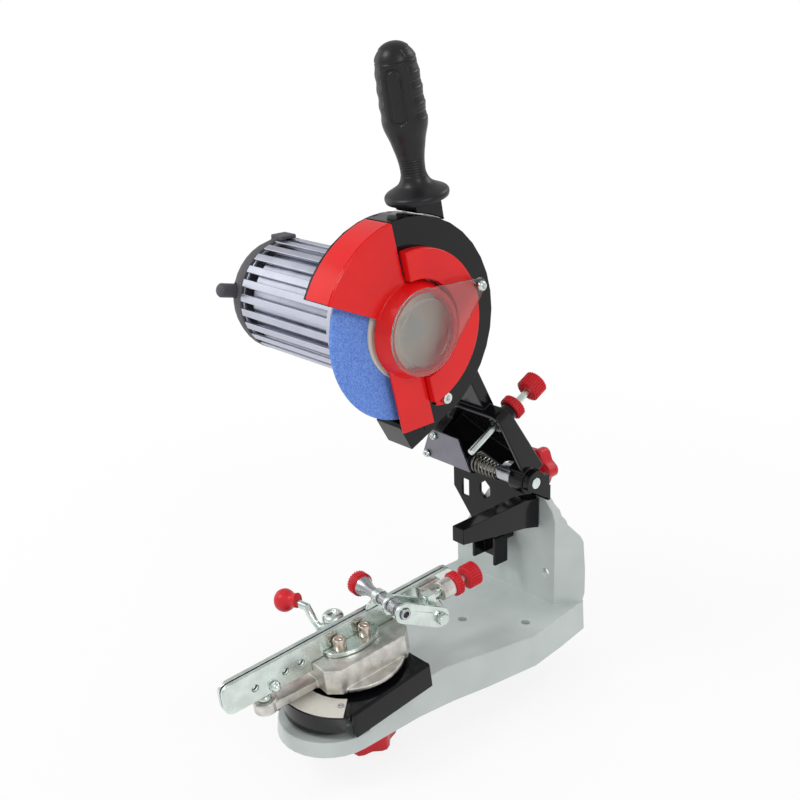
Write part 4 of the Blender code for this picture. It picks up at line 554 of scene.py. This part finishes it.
def blotting_paper(colour):
    """Thick beige blotting paper: matt, with faint fibres."""
    finish, tree, shader, place = start_material("beige blotting paper", colour, 0.85)
    fibres = noise(tree, place, 0.0009, 4.0, (1.0, 3.0, 1.0))
    tinted(tree, shader, spread(tree, fibres, 0.0, 1.0), shade(colour, 0.88), shade(colour, 1.03))
    bumped(tree, shader, fibres, 0.00008, 0.5)
    return finish


def clear_plastic():
    """Clear polycarbonate: glossy and see-through, with the dish at its middle frosted."""
    clear = 0.06
    frosted = 0.55
    finish, tree, shader, place = start_material("clear polycarbonate", linear("#F2F6F5"), clear, IOR=1.49,
                                                 Transmission_Weight=1.0)
    flat = add_node(tree, "ShaderNodeVectorMath", {"operation": "MULTIPLY"}, {1: (0.0, 1.0, 1.0)},
                    ((place, 0),)).outputs[0]
    centre = (0.0, *JOINTS["wheel_spin"]["pos_m"][1:])
    away = add_node(tree, "ShaderNodeVectorMath", {"operation": "DISTANCE"}, {1: centre}, ((flat, 0),))
    dish = 0.0265
    frost = spread(tree, away.outputs["Value"], frosted, clear, dish * 0.94, dish)
    tree.links.new(frost, shader.inputs["Roughness"])
    bumped(tree, shader, noise(tree, place, 0.0011, 2.0), 0.00005, 0.3)
    return finish


def lacquer(name, colour, roughness):
    """A thin even film of lacquer or print on sheet metal."""
    finish, tree, shader, place = start_material(name, colour, roughness)
    fine = noise(tree, place, 0.0012, 2.0)
    tinted(tree, shader, spread(tree, fine, 0.0, 1.0), shade(colour, 0.94), shade(colour, 1.04))
    bumped(tree, shader, fine, 0.00002, 0.3)
    return finish


def make_finishes(colours):
    """Every finish, named for its slot, with its pattern sizes in metres."""
    made = {name: tuple(getattr(colours, name)) for name in type(colours).__annotations__}
    along_y = (1.0, 0.12, 1.0)
    # Stove enamel gives wavering reflections: fine orange peel on the casting's slow waves
    FINISHES["grey_paint"] = enamel("light grey stove enamel", made["grey"], 0.34, 0.5, 0.0014, 0.030, 0.035)
    FINISHES["black_paint"] = enamel("gloss black stove enamel", made["black"], 0.12, 0.28, 0.0016, 0.022,
                                     0.10)
    FINISHES["red_paint"] = enamel("gloss red stove enamel", made["red"], 0.20, 0.32, 0.0014, 0.030, 0.04)
    # Moulded plastic gives an even colour and a soft sheen, broken by the tool's grain
    FINISHES["red_knob"] = moulded("moulded red nylon", made["nylon"], 0.34, 0.0008, 0.00002)
    FINISHES["dark_plastic"] = moulded("spark-grained black ABS", made["plastic"], 0.52, 0.0007, 0.00008)
    FINISHES["black_grip"] = moulded("satin soft grip", made["grip"], 0.36, 0.0009, 0.00002)
    # Plate gives clouded reflections, and turned or drawn metal streaks along its making
    FINISHES["zinc"] = metal("bright zinc plate", made["zinc"], 0.24, 0.012, 0.14, along_y)
    FINISHES["brass"] = metal("yellow zinc plate", made["brass"], 0.26, 0.006, 0.16)
    FINISHES["steel"] = metal("turned bright steel", made["steel"], 0.28, 0.010, 0.20, (0.3, 1.0, 1.0))
    FINISHES["raw_cast"] = metal("raw die-cast aluminium", made["cast"], 0.38, 0.009, 0.24,
                                 grain=0.0012, depth=0.00006)
    FINISHES["motor_silver"] = metal("satin extruded aluminium", made["satin"], 0.36, 0.020, 0.10,
                                     (0.06, 1.0, 1.0))
    FINISHES["plate"] = metal("dull rolled steel sheet", made["sheet"], 0.34, 0.020, 0.12, (1.0, 0.1, 1.0))
    FINISHES["spring"] = metal("oiled spring steel", made["spring"], 0.26, 0.006, 0.25)
    FINISHES["clear_plastic"] = clear_plastic()
    FINISHES["abrasive"] = abrasive(made["grit"])
    FINISHES["paper_washer"] = blotting_paper(made["paper"])
    FINISHES["scale_print"] = lacquer("white scale lacquer", made["lacquer"], 0.4)


# Operators

class SHARPENER_OT_finishes(bpy.types.Operator):
    """Make every finish and give each CAD node the one of its slot."""
    bl_idname = "sharpener.finishes"
    bl_label = "Finishes"

    def execute(self, context):
        colours = context.scene.sharpener_colours
        make_finishes(colours)
        TREES["ring"] = ring_tree()
        TREES["row"] = row_tree()
        TREES["coil"] = coil_tree()
        for node, thing in NODES.items():
            thing.data.materials.clear()
            thing.data.materials.append(FINISHES[SLOTS[node]])
        return {"FINISHED"}


class SHARPENER_OT_base(bpy.types.Operator):
    """The base casting with its rounded edges."""
    bl_idname = "sharpener.base"
    bl_label = "Base casting"

    def execute(self, context):
        sizes = context.scene.sharpener_sizes
        # Points nearer than this are merged, since a rounding folds over shorter edges
        near = 0.0004
        dressed("base_casting", "base_shell", FINISHES["grey_paint"], sizes.base_edge, 3, 26, near)
        return {"FINISHED"}


class SHARPENER_OT_bracket(bpy.types.Operator):
    """The folded tilt bracket, the arm and their plate."""
    bl_idname = "sharpener.bracket"
    bl_label = "Bracket and arm"

    def execute(self, context):
        sizes = context.scene.sharpener_sizes
        dressed("tilt_bracket", "bracket_sheet", FINISHES["black_paint"], sizes.sheet_edge, 2)
        dressed("arm_casting", "arm_tray", FINISHES["black_paint"], sizes.cast_edge, 3)
        dressed("arm_plate", "arm_cover", FINISHES["plate"], sizes.sheet_edge, 2)
        return {"FINISHED"}


class SHARPENER_OT_guard(bpy.types.Operator):
    """The guard housing and the red covers of the wheel."""
    bl_idname = "sharpener.guard"
    bl_label = "Guard"

    def execute(self, context):
        sizes = context.scene.sharpener_sizes
        rim = sizes.sheet_edge * 0.6
        dressed("guard_housing", "guard_shell", FINISHES["black_paint"], rim, 2, near=0.0006)
        dressed("guard_band", "red_band", FINISHES["red_paint"], sizes.sheet_edge * 1.4, 3)
        dressed("side_cover", "red_cover", FINISHES["red_paint"], sizes.cast_edge, 3)
        dressed("clear_cap", "nut_cap", FINISHES["clear_plastic"], sizes.sheet_edge, 3)
        dressed("handle_block", "grip_foot", FINISHES["black_paint"], sizes.cast_edge, 3)
        return {"FINISHED"}


class SHARPENER_OT_wheel(bpy.types.Operator):
    """The grinding wheel with its paper washer, flange and nut."""
    bl_idname = "sharpener.wheel"
    bl_label = "Wheel"

    def execute(self, context):
        sizes = context.scene.sharpener_sizes
        place = joint_frame("wheel_spin")
        low, high, radius = extent("grinding_wheel", place)
        bore = extent("motor_shaft", place)[2]
        edge = (high - low) / 2
        shoulder = radius - edge * 0.25
        rise = edge * 0.4
        profile = [(bore, low), (radius - edge, low), (shoulder, low + rise), (radius, low + edge),
                   (shoulder, high - rise), (radius - edge, high), (bore, high)]
        wheel = settle(lathe("wheel_raw", profile, place, 128), "abrasive_wheel")
        stands_for(wheel, FINISHES["abrasive"], "grinding_wheel")
        dressed("wheel_nut", "hex_nut", FINISHES["zinc"], sizes.turned_edge, 2)
        for node in ("outer_flange", "inner_flange", "motor_shaft"):
            dressed(node, node + "_turned", FINISHES[SLOTS[node]], sizes.turned_edge, 2)
        return {"FINISHED"}


class SHARPENER_OT_motor(bpy.types.Operator):
    """The slatted motor with its can, rings, end cap and cable gland."""
    bl_idname = "sharpener.motor"
    bl_label = "Motor"

    def execute(self, context):
        sizes = context.scene.sharpener_sizes
        place = joint_frame("wheel_spin")
        low, high, radius = extent("motor_fins", place)
        ring = 0.0045
        wall = 0.0024
        round_steps = 96
        half = (FULL * radius / sizes.slats - sizes.slat_gap) / 2
        crown = half * 0.12
        flat = half * 0.8
        strip = [(radius - wall, -half), (radius - crown, -half), (radius, -flat), (radius, flat),
                 (radius - crown, half), (radius - wall, half)]
        slat = extruded("slat", strip, low, high - ring * 0.6, place)
        slats = ring_of(slat, place, sizes.slats, "slats", FINISHES["motor_silver"], math.pi / sizes.slats)
        flush = [(radius - wall, high - ring), (radius, high - ring), (radius, high), (radius - wall, high)]
        inner = radius - wall * 0.8
        sunk = [(inner - wall, low), (inner, low), (inner, low + ring / 2), (inner - wall, low + ring / 2)]
        rings = [lathe("ring", section, place, round_steps) for section in (flush, sunk)]
        body = joined([slats] + rings, "slat_body")
        add_bevel(body, sizes.turned_edge, 2)
        stands_for(settle(body, "motor_slats"), FINISHES["motor_silver"], "motor_fins")
        shaft = extent("motor_shaft", place)[2] + sizes.turned_edge
        can = radius - wall * 2
        bare = low + ring * 2.4
        spigot = can * 0.84
        soft = sizes.cast_edge
        profile = [(shaft, low + ring), (spigot, low + ring), (spigot, bare), (can - soft, bare),
                   (can, bare + soft), (can, high - ring / 2), (shaft, high - ring / 2)]
        barrel = settle(lathe("can_raw", profile, place, round_steps), "motor_barrel")
        stands_for(barrel, FINISHES["motor_silver"], "motor_can")
        dressed("motor_flange", "flange_ring", FINISHES["motor_silver"], sizes.cast_edge, 3)
        dressed("motor_end_cap", "end_cap", FINISHES["dark_plastic"], sizes.cast_edge, 3)
        dressed("cable_gland", "gland_stub", FINISHES["dark_plastic"], sizes.cast_edge * 2, 4)
        return {"FINISHED"}


# The grip's half outline from its flange to its dome, in shares of its radius and of its length
GRIP_SHARES = ((0.0, 0.0), (0.60, 0.0), (0.93, 0.002), (0.985, 0.012), (1.0, 0.028), (0.985, 0.042),
               (0.93, 0.055), (0.80, 0.070), (0.66, 0.086), (0.53, 0.106), (0.45, 0.130), (0.410, 0.152),
               (0.385, 0.180), (0.394, 0.240), (0.440, 0.300), (0.477, 0.333), (0.545, 0.394),
               (0.640, 0.455), (0.674, 0.485), (0.689, 0.515), (0.692, 0.576), (0.690, 0.636),
               (0.682, 0.697), (0.675, 0.758), (0.659, 0.818), (0.640, 0.868), (0.628, 0.885),
               (0.598, 0.909), (0.530, 0.939), (0.430, 0.965), (0.300, 0.985), (0.150, 0.997), (0.0, 1.0))
# Where the grip's recess faces, round its axis from world X
GRIP_FRONT = math.radians(-54)


def grip_relief(angle, height, radius):
    """How far the grip's skin lies in from its turned form, for its recess, pads, ribs and seam."""
    recess_z, recess_l, recess_w = 0.0784, 0.0199, 0.0068
    groove_w, groove_depth, floor_depth = 0.0021, 0.0010, 0.0003
    away = max(abs(height - recess_z) - (recess_l - recess_w), 0.0)
    inside = recess_w - math.hypot(radius * angle, away)
    depth = 0.0
    if 0.0 < inside < groove_w:
        depth += groove_depth
    elif inside >= groove_w:
        depth += floor_depth
    pad_z, pad_pitch, pads = 0.0600, 0.0112, 4.5
    pad_wave, pad_step, step_share = 0.0003, 0.0005, 0.45
    behind, step_start, step_end = (math.radians(degrees) for degrees in (38, 43, 115))
    along = (height - pad_z) / pad_pitch
    if 0.0 < along < pads and abs(angle) > behind:
        depth += pad_wave * (1 - math.cos(FULL * along))
        if 0.0 < along % 1.0 < step_share and step_start < angle < step_end:
            depth += pad_step
    rib_z, rib_pitch, ribs, rib_h, rib_root = 0.0175, 0.0019, 7.0, 0.0006, 0.0003
    rib_reach = math.radians(62)
    rib = (height - rib_z) / rib_pitch
    if 0.0 < rib < ribs and abs(angle) < rib_reach:
        depth -= rib_h * abs(math.sin(math.pi * rib)) - rib_root
    seam_z, seam_half, seam_depth = 0.1018, 0.0004, 0.0006
    if abs(height - seam_z) < seam_half:
        depth += seam_depth
    return depth


class SHARPENER_OT_grip(bpy.types.Operator):
    """The moulded handle with its bare recess, pads, ribs and domed end."""
    bl_idname = "sharpener.grip"
    bl_label = "Handle grip"

    def execute(self, context):
        lean = math.radians(10.1)
        grip_steps = 190
        core_share = 0.3
        axis = Vector((0.0, -math.sin(lean), math.cos(lean)))
        points = [vert.co for vert in NODES["handle_grip"].data.vertices]
        tip = max(points, key=lambda point: point.dot(axis))
        place = frame_of(tip, axis, Vector((1, 0, 0)))
        start, end, radius = extent("handle_grip", place)
        place = place @ Matrix.Translation((0.0, 0.0, start))
        length = end - start
        skin = 0.00045
        profile = smooth_run([(share * radius, rise * length) for share, rise in GRIP_SHARES], skin)
        profile[0] = (0.0, 0.0)
        grip = lathe("grip_raw", profile, Matrix.Identity(4), grip_steps)
        for vert in grip.data.vertices:
            out = math.hypot(vert.co.x, vert.co.y)
            if out > radius * core_share:
                angle = (math.atan2(vert.co.y, vert.co.x) - GRIP_FRONT + math.pi) % FULL - math.pi
                share = 1 - grip_relief(angle, vert.co.z, out) / out
                vert.co.x *= share
                vert.co.y *= share
        grip.data.transform(place)
        stands_for(settle(grip, "hand_grip"), FINISHES["black_grip"], "handle_grip")
        return {"FINISHED"}


class SHARPENER_OT_spring(bpy.types.Operator):
    """The return spring, wound from round wire."""
    bl_idname = "sharpener.spring"
    bl_label = "Return spring"

    def execute(self, context):
        sizes = context.scene.sharpener_sizes
        pin = Vector(JOINTS["head_swing"]["pos_m"])
        low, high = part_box("return_spring")
        start = low.x + sizes.wire
        end = high.x - sizes.wire
        turn = Vector((0, 0, 1)).rotation_difference(Vector((1, 0, 0)))
        holder = mesh_object("coil_seed", bpy.data.meshes.new("coil_seed"))
        values = {"Turns": sizes.turns, "Coil radius": sizes.coil, "Length": end - start,
                  "Wire radius": sizes.wire, "Turn": turn.to_euler(), "Start": (start, pin.y, pin.z),
                  "Material": FINISHES["spring"]}
        coil = grown(holder, TREES["coil"], values, "wound_spring")
        stands_for(coil, FINISHES["spring"], "return_spring")
        return {"FINISHED"}


class SHARPENER_OT_knobs(bpy.types.Operator):
    """The fluted knobs, the star knobs and the lever's ball."""
    bl_idname = "sharpener.knobs"
    bl_label = "Knobs"

    def execute(self, context):
        sizes = context.scene.sharpener_sizes
        fluted_knob("depth_knob", "depth_knob_turn", "fine_feed_knob", sizes)
        fluted_knob("depth_lock_knob", "depth_lock_turn", "feed_lock_ring", sizes)
        fluted_knob("adjuster_knob", "adjuster_knob_turn", "stop_feed_knob", sizes)
        fluted_knob("adjuster_lock_knob", "adjuster_lock_turn", "stop_lock_ring", sizes)
        fluted_knob("stop_cap", None, "stop_cap_knob", sizes)
        dressed("tilt_lock_knob", "tilt_star", FINISHES["red_knob"], sizes.cast_edge * 1.6, 4)
        dressed("clamp_knob", "clamp_star", FINISHES["red_knob"], sizes.cast_edge * 1.6, 4)
        ball = lathe("ball_raw", smooth_run(BALL_PROFILE, 0.0006), ball_frame(), 48)
        stands_for(settle(ball, "lever_grip"), FINISHES["red_knob"], "lever_ball")
        return {"FINISHED"}


# The lever's ball from its neck to its far end, as radius and height
BALL_PROFILE = ((0.0, 0.0), (0.0056, 0.0002), (0.0060, 0.0014), (0.0059, 0.0040), (0.0064, 0.0062),
                (0.0082, 0.0088), (0.0094, 0.0118), (0.0095, 0.0142), (0.0088, 0.0170), (0.0070, 0.0194),
                (0.0040, 0.0207), (0.0, 0.0210))


def ball_frame():
    """The frame of the lever's ball: from its neck, where the lever enters, to its far end."""
    points = [vert.co for vert in NODES["lever_ball"].data.vertices]
    middle = sum(points, Vector()) / len(points)
    ends = [vert.co for vert in NODES["cam_lever"].data.vertices]
    neck = sorted(ends, key=lambda point: (point - middle).length)[:10]
    start = sum(neck, Vector()) / len(neck)
    far = max(points, key=lambda point: (point - start).length)
    return frame_of(start, far - start, Vector((1, 0, 0)))


def cap_frame():
    """The frame of the chain stop's red cap: along the stop's shaft."""
    low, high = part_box("stop_cap")
    return frame_of((low + high) / 2, JOINTS["pawl_flip"]["axis"])


def fluted_knob(node, joint, name, sizes):
    """A knob with a ring of ridges round its rim and a hollow in its face."""
    place = cap_frame() if joint is None else joint_frame(joint)
    low, high, radius = extent(node, place)
    edge = radius * 0.11
    core = radius - sizes.flute
    hole = radius * 0.34
    profile = [(0.0, low + edge * 0.4), (hole, low + edge * 0.4), (hole * 1.1, low), (core - edge, low),
               (core - edge * 0.3, low + edge * 0.3), (core, low + edge), (core, high - edge),
               (core - edge * 0.3, high - edge * 0.3), (core - edge, high), (hole * 1.7, high),
               (hole * 1.55, high - edge * 0.5), (0.0, high - edge * 0.5)]
    body = lathe("core", profile, place, 64)
    half = FULL * radius / sizes.flutes * 0.27
    flank = radius - sizes.flute * 0.35
    root = core - edge * 0.3
    section = [(root, -half), (flank, -half * 0.85), (radius, -half * 0.4),
               (radius, half * 0.4), (flank, half * 0.85), (root, half)]
    ridge = extruded("ridge", section, low + edge * 0.7, high - edge * 0.7, place)
    ridges = ring_of(ridge, place, sizes.flutes, "ridges", FINISHES["red_knob"])
    knob = settle(joined([body, ridges], name + "_raw"), name)
    stands_for(knob, FINISHES["red_knob"], node)


# Plated pieces of the vise: their rounding in shares of a casting's, and its segments
VISE_EDGES = (("fixed_jaw", 0.5, 2), ("moving_jaw", 0.5, 2), ("jaw_plate", 0.5, 2), ("stop_mount", 0.8, 3),
              ("stop_link", 0.4, 2), ("stop_shaft", 0.3, 2), ("stop_pawl", 0.3, 2), ("cam_lever", 0.5, 2),
              ("adjuster_rod", 0.4, 2))


class SHARPENER_OT_vise(bpy.types.Operator):
    """Saddle, turntable, jaws, lever and chain stop with their edges rounded."""
    bl_idname = "sharpener.vise"
    bl_label = "Vise"

    def execute(self, context):
        sizes = context.scene.sharpener_sizes
        dressed("vise_saddle", "saddle_shell", FINISHES["black_paint"], sizes.cast_edge, 3)
        dressed("turntable", "turntable_casting", FINISHES["raw_cast"], sizes.cast_edge, 3)
        for node, share, segments in VISE_EDGES:
            dressed(node, node + "_edged", FINISHES[SLOTS[node]], sizes.cast_edge * share, segments)
        return {"FINISHED"}


def socket_screw(name, place, shank, head, low, neck, high):
    """A socket-head screw: its shank from low, its head from neck to high."""
    soft = (high - neck) * 0.10
    drive = head * 0.52
    rings = [hoop(shank, low), hoop(shank, neck), hoop(head, neck), hoop(head, high - soft),
             hoop(head - soft, high), hoop(drive * 1.12, high), hexagon(drive, high - soft / 2),
             hexagon(drive, (neck + high) / 2)]
    return lofted(name, rings, place)


def hex_bolt(name, place, shank, head, low, neck, high):
    """A hex-head bolt with a round face under its head."""
    face = neck + (high - neck) * 0.22
    soft = high - (high - neck) * 0.12
    rings = [hoop(shank, low), hoop(shank, neck), hoop(head, neck), hoop(head, face), hexagon(head, face),
             hexagon(head, soft), hoop(head * 0.84, high)]
    return lofted(name, rings, place)


def acorn_nut(name, place, shank, head, low, neck, high):
    """A hex nut with a domed end."""
    waist = neck + (high - neck) * 0.42
    dome = head * 0.80
    rings = [hoop(shank, low), hoop(shank, neck), hexagon(head, neck), hexagon(head, waist),
             hoop(dome, waist)]
    for angle in (20, 40, 60, 78):
        tilt = math.radians(angle)
        rings.append(hoop(dome * math.cos(tilt), waist + (high - waist) * math.sin(tilt)))
    return lofted(name, rings, place)


def button_head(name, place, shank, head, low, neck, high):
    """A low domed head with a hex socket."""
    rise = high - neck
    drive = head * 0.45
    rings = [hoop(shank, low), hoop(shank, neck), hoop(head, neck), hoop(head, neck + rise * 0.30),
             hoop(head * 0.93, neck + rise * 0.62), hoop(head * 0.78, neck + rise * 0.88),
             hoop(head * 0.60, high), hoop(drive * 1.12, high), hexagon(drive, high - rise * 0.08),
             hexagon(drive, neck + rise * 0.45)]
    return lofted(name, rings, place)


def measured(node, axis):
    """A screw's frame, its shank and head radii, and where its shank, head and top lie along it."""
    points = [vert.co for vert in NODES[node].data.vertices]
    middle = sum(points, Vector()) / len(points)
    place = frame_of(middle, axis)
    local = [place.inverted() @ point for point in points]
    shift = [(min(p[i] for p in local) + max(p[i] for p in local)) / 2 for i in (0, 1)]
    place = place @ Matrix.Translation((*shift, 0.0))
    local = [(math.hypot(p.x - shift[0], p.y - shift[1]), p.z) for p in local]
    head = max(radius for radius, height in local)
    neck = min(height for radius, height in local if radius > head * 0.97)
    low = min(height for radius, height in local)
    shank = max([radius for radius, height in local if height < neck - 0.0001] or [head * 0.5])
    return place, shank, head, low, neck, max(height for radius, height in local)


# Single screws: node, shape, joint whose axis they stand along, finish
SCREWS = (("foot_screw", button_head, "vise_swivel", "zinc"), ("rail_bolt", acorn_nut, "pawl_flip", "zinc"),
          ("lever_bolt", button_head, "vise_swivel", "zinc"), ("link_bolt", hex_bolt, "pawl_flip", "zinc"),
          ("cap_screw", button_head, "wheel_spin", "zinc"),
          ("cover_screw", socket_screw, "wheel_spin", "zinc"),
          ("scale_rivet", button_head, "vise_swivel", "steel"))
# Like screws side by side: both nodes, shape, axis, finish
PAIRS = (("jaw_screw_left", "jaw_screw_right", socket_screw, (0.0, -0.13053, 0.99144), "brass"),
         ("plate_screw_low", "plate_screw_high", button_head, (0.0, -1.0, 0.0), "zinc"))
TURNED = ("hinge_pin", "spring_sleeve", "tilt_lock_stud", "tilt_pivot_bolt", "clamp_bolt", "clamp_washer",
          "depth_rod")


class SHARPENER_OT_screws(bpy.types.Operator):
    """Screws, bolts, pins and rivets with their drives."""
    bl_idname = "sharpener.screws"
    bl_label = "Screws"

    def execute(self, context):
        sizes = context.scene.sharpener_sizes
        for node, make, joint, finish in SCREWS:
            screw = make(node + "_raw", *measured(node, JOINTS[joint]["axis"]))
            stands_for(settle(screw, node + "_shaped"), FINISHES[finish], node)
        for first, second, make, axis, finish in PAIRS:
            shape = measured(first, axis)
            step = measured(second, axis)[0].translation - shape[0].translation
            screws = row_of(make("screw", *shape), step, 2, first + "_pair_raw", FINISHES[finish])
            stands_for(settle(screws, first + "_pair"), FINISHES[finish], first, second)
        for node in TURNED:
            dressed(node, node + "_turned", FINISHES[SLOTS[node]], sizes.turned_edge, 2)
        return {"FINISHED"}


class SHARPENER_OT_stage(bpy.types.Operator):
    """Floor, soft light and the camera at the photograph's view."""
    bl_idname = "sharpener.stage"
    bl_label = "Stage"

    def execute(self, context):
        reach = 6.0
        gap = 0.001
        height = CAD_BOX[0][2] - gap
        floor = mesh_object("floor", bpy.data.meshes.new("floor"))
        signs = ((-1, -1), (1, -1), (1, 1), (-1, 1))
        corners = [(x * reach, y * reach, height) for x, y in signs]
        floor.data.from_pydata(corners, [], [(0, 1, 2, 3)])
        floor.data.materials.append(pale_floor(reach))
        make_world()
        make_lights()
        make_camera()
        bpy.context.scene.view_settings.view_transform = "Standard"
        return {"FINISHED"}


def seen(tree):
    """One where a camera, mirror or glass ray looks."""
    path = add_node(tree, "ShaderNodeLightPath")
    total = path.outputs["Is Camera Ray"]
    for label in ("Is Glossy Ray", "Is Transmission Ray"):
        pair = ((total, 0), (path.outputs[label], 1))
        total = add_node(tree, "ShaderNodeMath", {"operation": "MAXIMUM"}, links=pair).outputs[0]
    return total


def pale_floor(reach):
    """A white sweep of paper that keeps a faint shadow near the object and fades into the background."""
    finish, tree, shader, place = start_material("white paper sweep", linear("#F2F2F2"), 0.9)
    glow = add_node(tree, "ShaderNodeEmission", values={"Color": (1.0, 1.0, 1.0, 1.0), "Strength": 1.0})
    away = add_node(tree, "ShaderNodeVectorMath", {"operation": "LENGTH"}, links=((place, 0),))
    glow_near = 0.84
    fade_start, fade_end = reach * 0.06, reach * 0.14
    kept = spread(tree, away.outputs["Value"], glow_near, 1.0, fade_start, fade_end)
    share = add_node(tree, "ShaderNodeMath", {"operation": "MULTIPLY"}, links=((seen(tree), 0), (kept, 1)))
    mixed = add_node(tree, "ShaderNodeMixShader",
                     links=((share.outputs[0], 0), (shader.outputs[0], 1), (glow.outputs[0], 2)))
    tree.links.new(mixed.outputs[0], tree.nodes["Material Output"].inputs["Surface"])
    return finish


def make_world():
    """White wherever it is seen, and a little dimmer as a light."""
    world = bpy.data.worlds.new("soft studio")
    bpy.context.scene.world = world
    world.use_nodes = True
    tree = world.node_tree
    back = tree.nodes["Background"]
    back.inputs["Color"].default_value = (1.0, 1.0, 1.0, 1.0)
    path = add_node(tree, "ShaderNodeLightPath")
    glow = 0.62
    dim = spread(tree, path.outputs["Is Glossy Ray"], 1.0, glow, 0.0, 1.0)
    lit = spread(tree, path.outputs["Is Diffuse Ray"], 0.0, 1.0, 0.0, 1.0)
    strength = add_node(tree, "ShaderNodeMix", {"data_type": "FLOAT"}, {3: glow}, ((lit, 0), (dim, 2)))
    tree.links.new(strength.outputs[0], back.inputs["Strength"])


# Name, place, size across and power of each lamp
LAMPS = (("key", (-0.5, -1.5, 1.7), 0.55, 13.0), ("side", (1.7, -0.5, 1.2), 0.6, 7.0),
         ("fill", (-1.5, -0.7, 0.7), 1.2, 4.0), ("rim", (0.3, 1.4, 1.3), 0.8, 6.0))


def make_lights():
    target = Vector((0.0, -0.1, 0.2))
    for name, spot, size, power in LAMPS:
        lamp = bpy.data.lights.new(name, "AREA")
        lamp.energy = power
        lamp.size = size
        holder = bpy.data.objects.new(name, lamp)
        bpy.context.scene.collection.objects.link(holder)
        holder.location = spot
        holder.rotation_mode = "QUATERNION"
        holder.rotation_quaternion = (target - Vector(spot)).to_track_quat("-Z", "Y")


def make_camera():
    """The camera at the photograph's place, from the wheel's ellipse."""
    right = Vector((0.6601, 0.7505, -0.0317))
    up = Vector((-0.2317, 0.2435, 0.9418))
    back = Vector((0.7146, -0.6144, 0.3346))
    data = bpy.data.cameras.new("photo view")
    data.lens = 51.75
    data.sensor_width = 36.0
    camera = bpy.data.objects.new("photo view", data)
    bpy.context.scene.collection.objects.link(camera)
    turn = Matrix((right, up, back)).transposed()
    camera.matrix_world = Matrix.Translation((0.6294, -0.6907, 0.5476)) @ turn.to_4x4()
    bpy.context.scene.camera = camera


OPERATORS = (SHARPENER_OT_stage, SHARPENER_OT_finishes, SHARPENER_OT_base, SHARPENER_OT_bracket,
             SHARPENER_OT_guard, SHARPENER_OT_wheel, SHARPENER_OT_motor, SHARPENER_OT_grip,
             SHARPENER_OT_spring, SHARPENER_OT_knobs, SHARPENER_OT_vise, SHARPENER_OT_screws)


class SHARPENER_PT_panel(bpy.types.Panel):
    """Lists the sharpener's pieces, sizes and colours."""
    bl_label = "Sharpener"
    bl_idname = "SHARPENER_PT_panel"
    bl_space_type = "VIEW_3D"
    bl_region_type = "UI"
    bl_category = "Sharpener"

    def draw(self, context):
        for operator in OPERATORS:
            self.layout.operator(operator.bl_idname)
        for group in (context.scene.sharpener_sizes, context.scene.sharpener_colours):
            for name in type(group).__annotations__:
                self.layout.prop(group, name)


CLASSES = (SharpenerColours, SharpenerSizes) + OPERATORS + (SHARPENER_PT_panel,)


def register():
    for kind in CLASSES:
        bpy.utils.register_class(kind)
    bpy.types.Scene.sharpener_colours = bpy.props.PointerProperty(type=SharpenerColours)
    bpy.types.Scene.sharpener_sizes = bpy.props.PointerProperty(type=SharpenerSizes)


def unregister():
    del bpy.types.Scene.sharpener_sizes
    del bpy.types.Scene.sharpener_colours
    for kind in reversed(CLASSES):
        bpy.utils.unregister_class(kind)


def main():
    register()
    for operator in OPERATORS:
        group, action = operator.bl_idname.split(".")
        getattr(getattr(bpy.ops, group), action)()


if __name__ == "__main__":
    main()
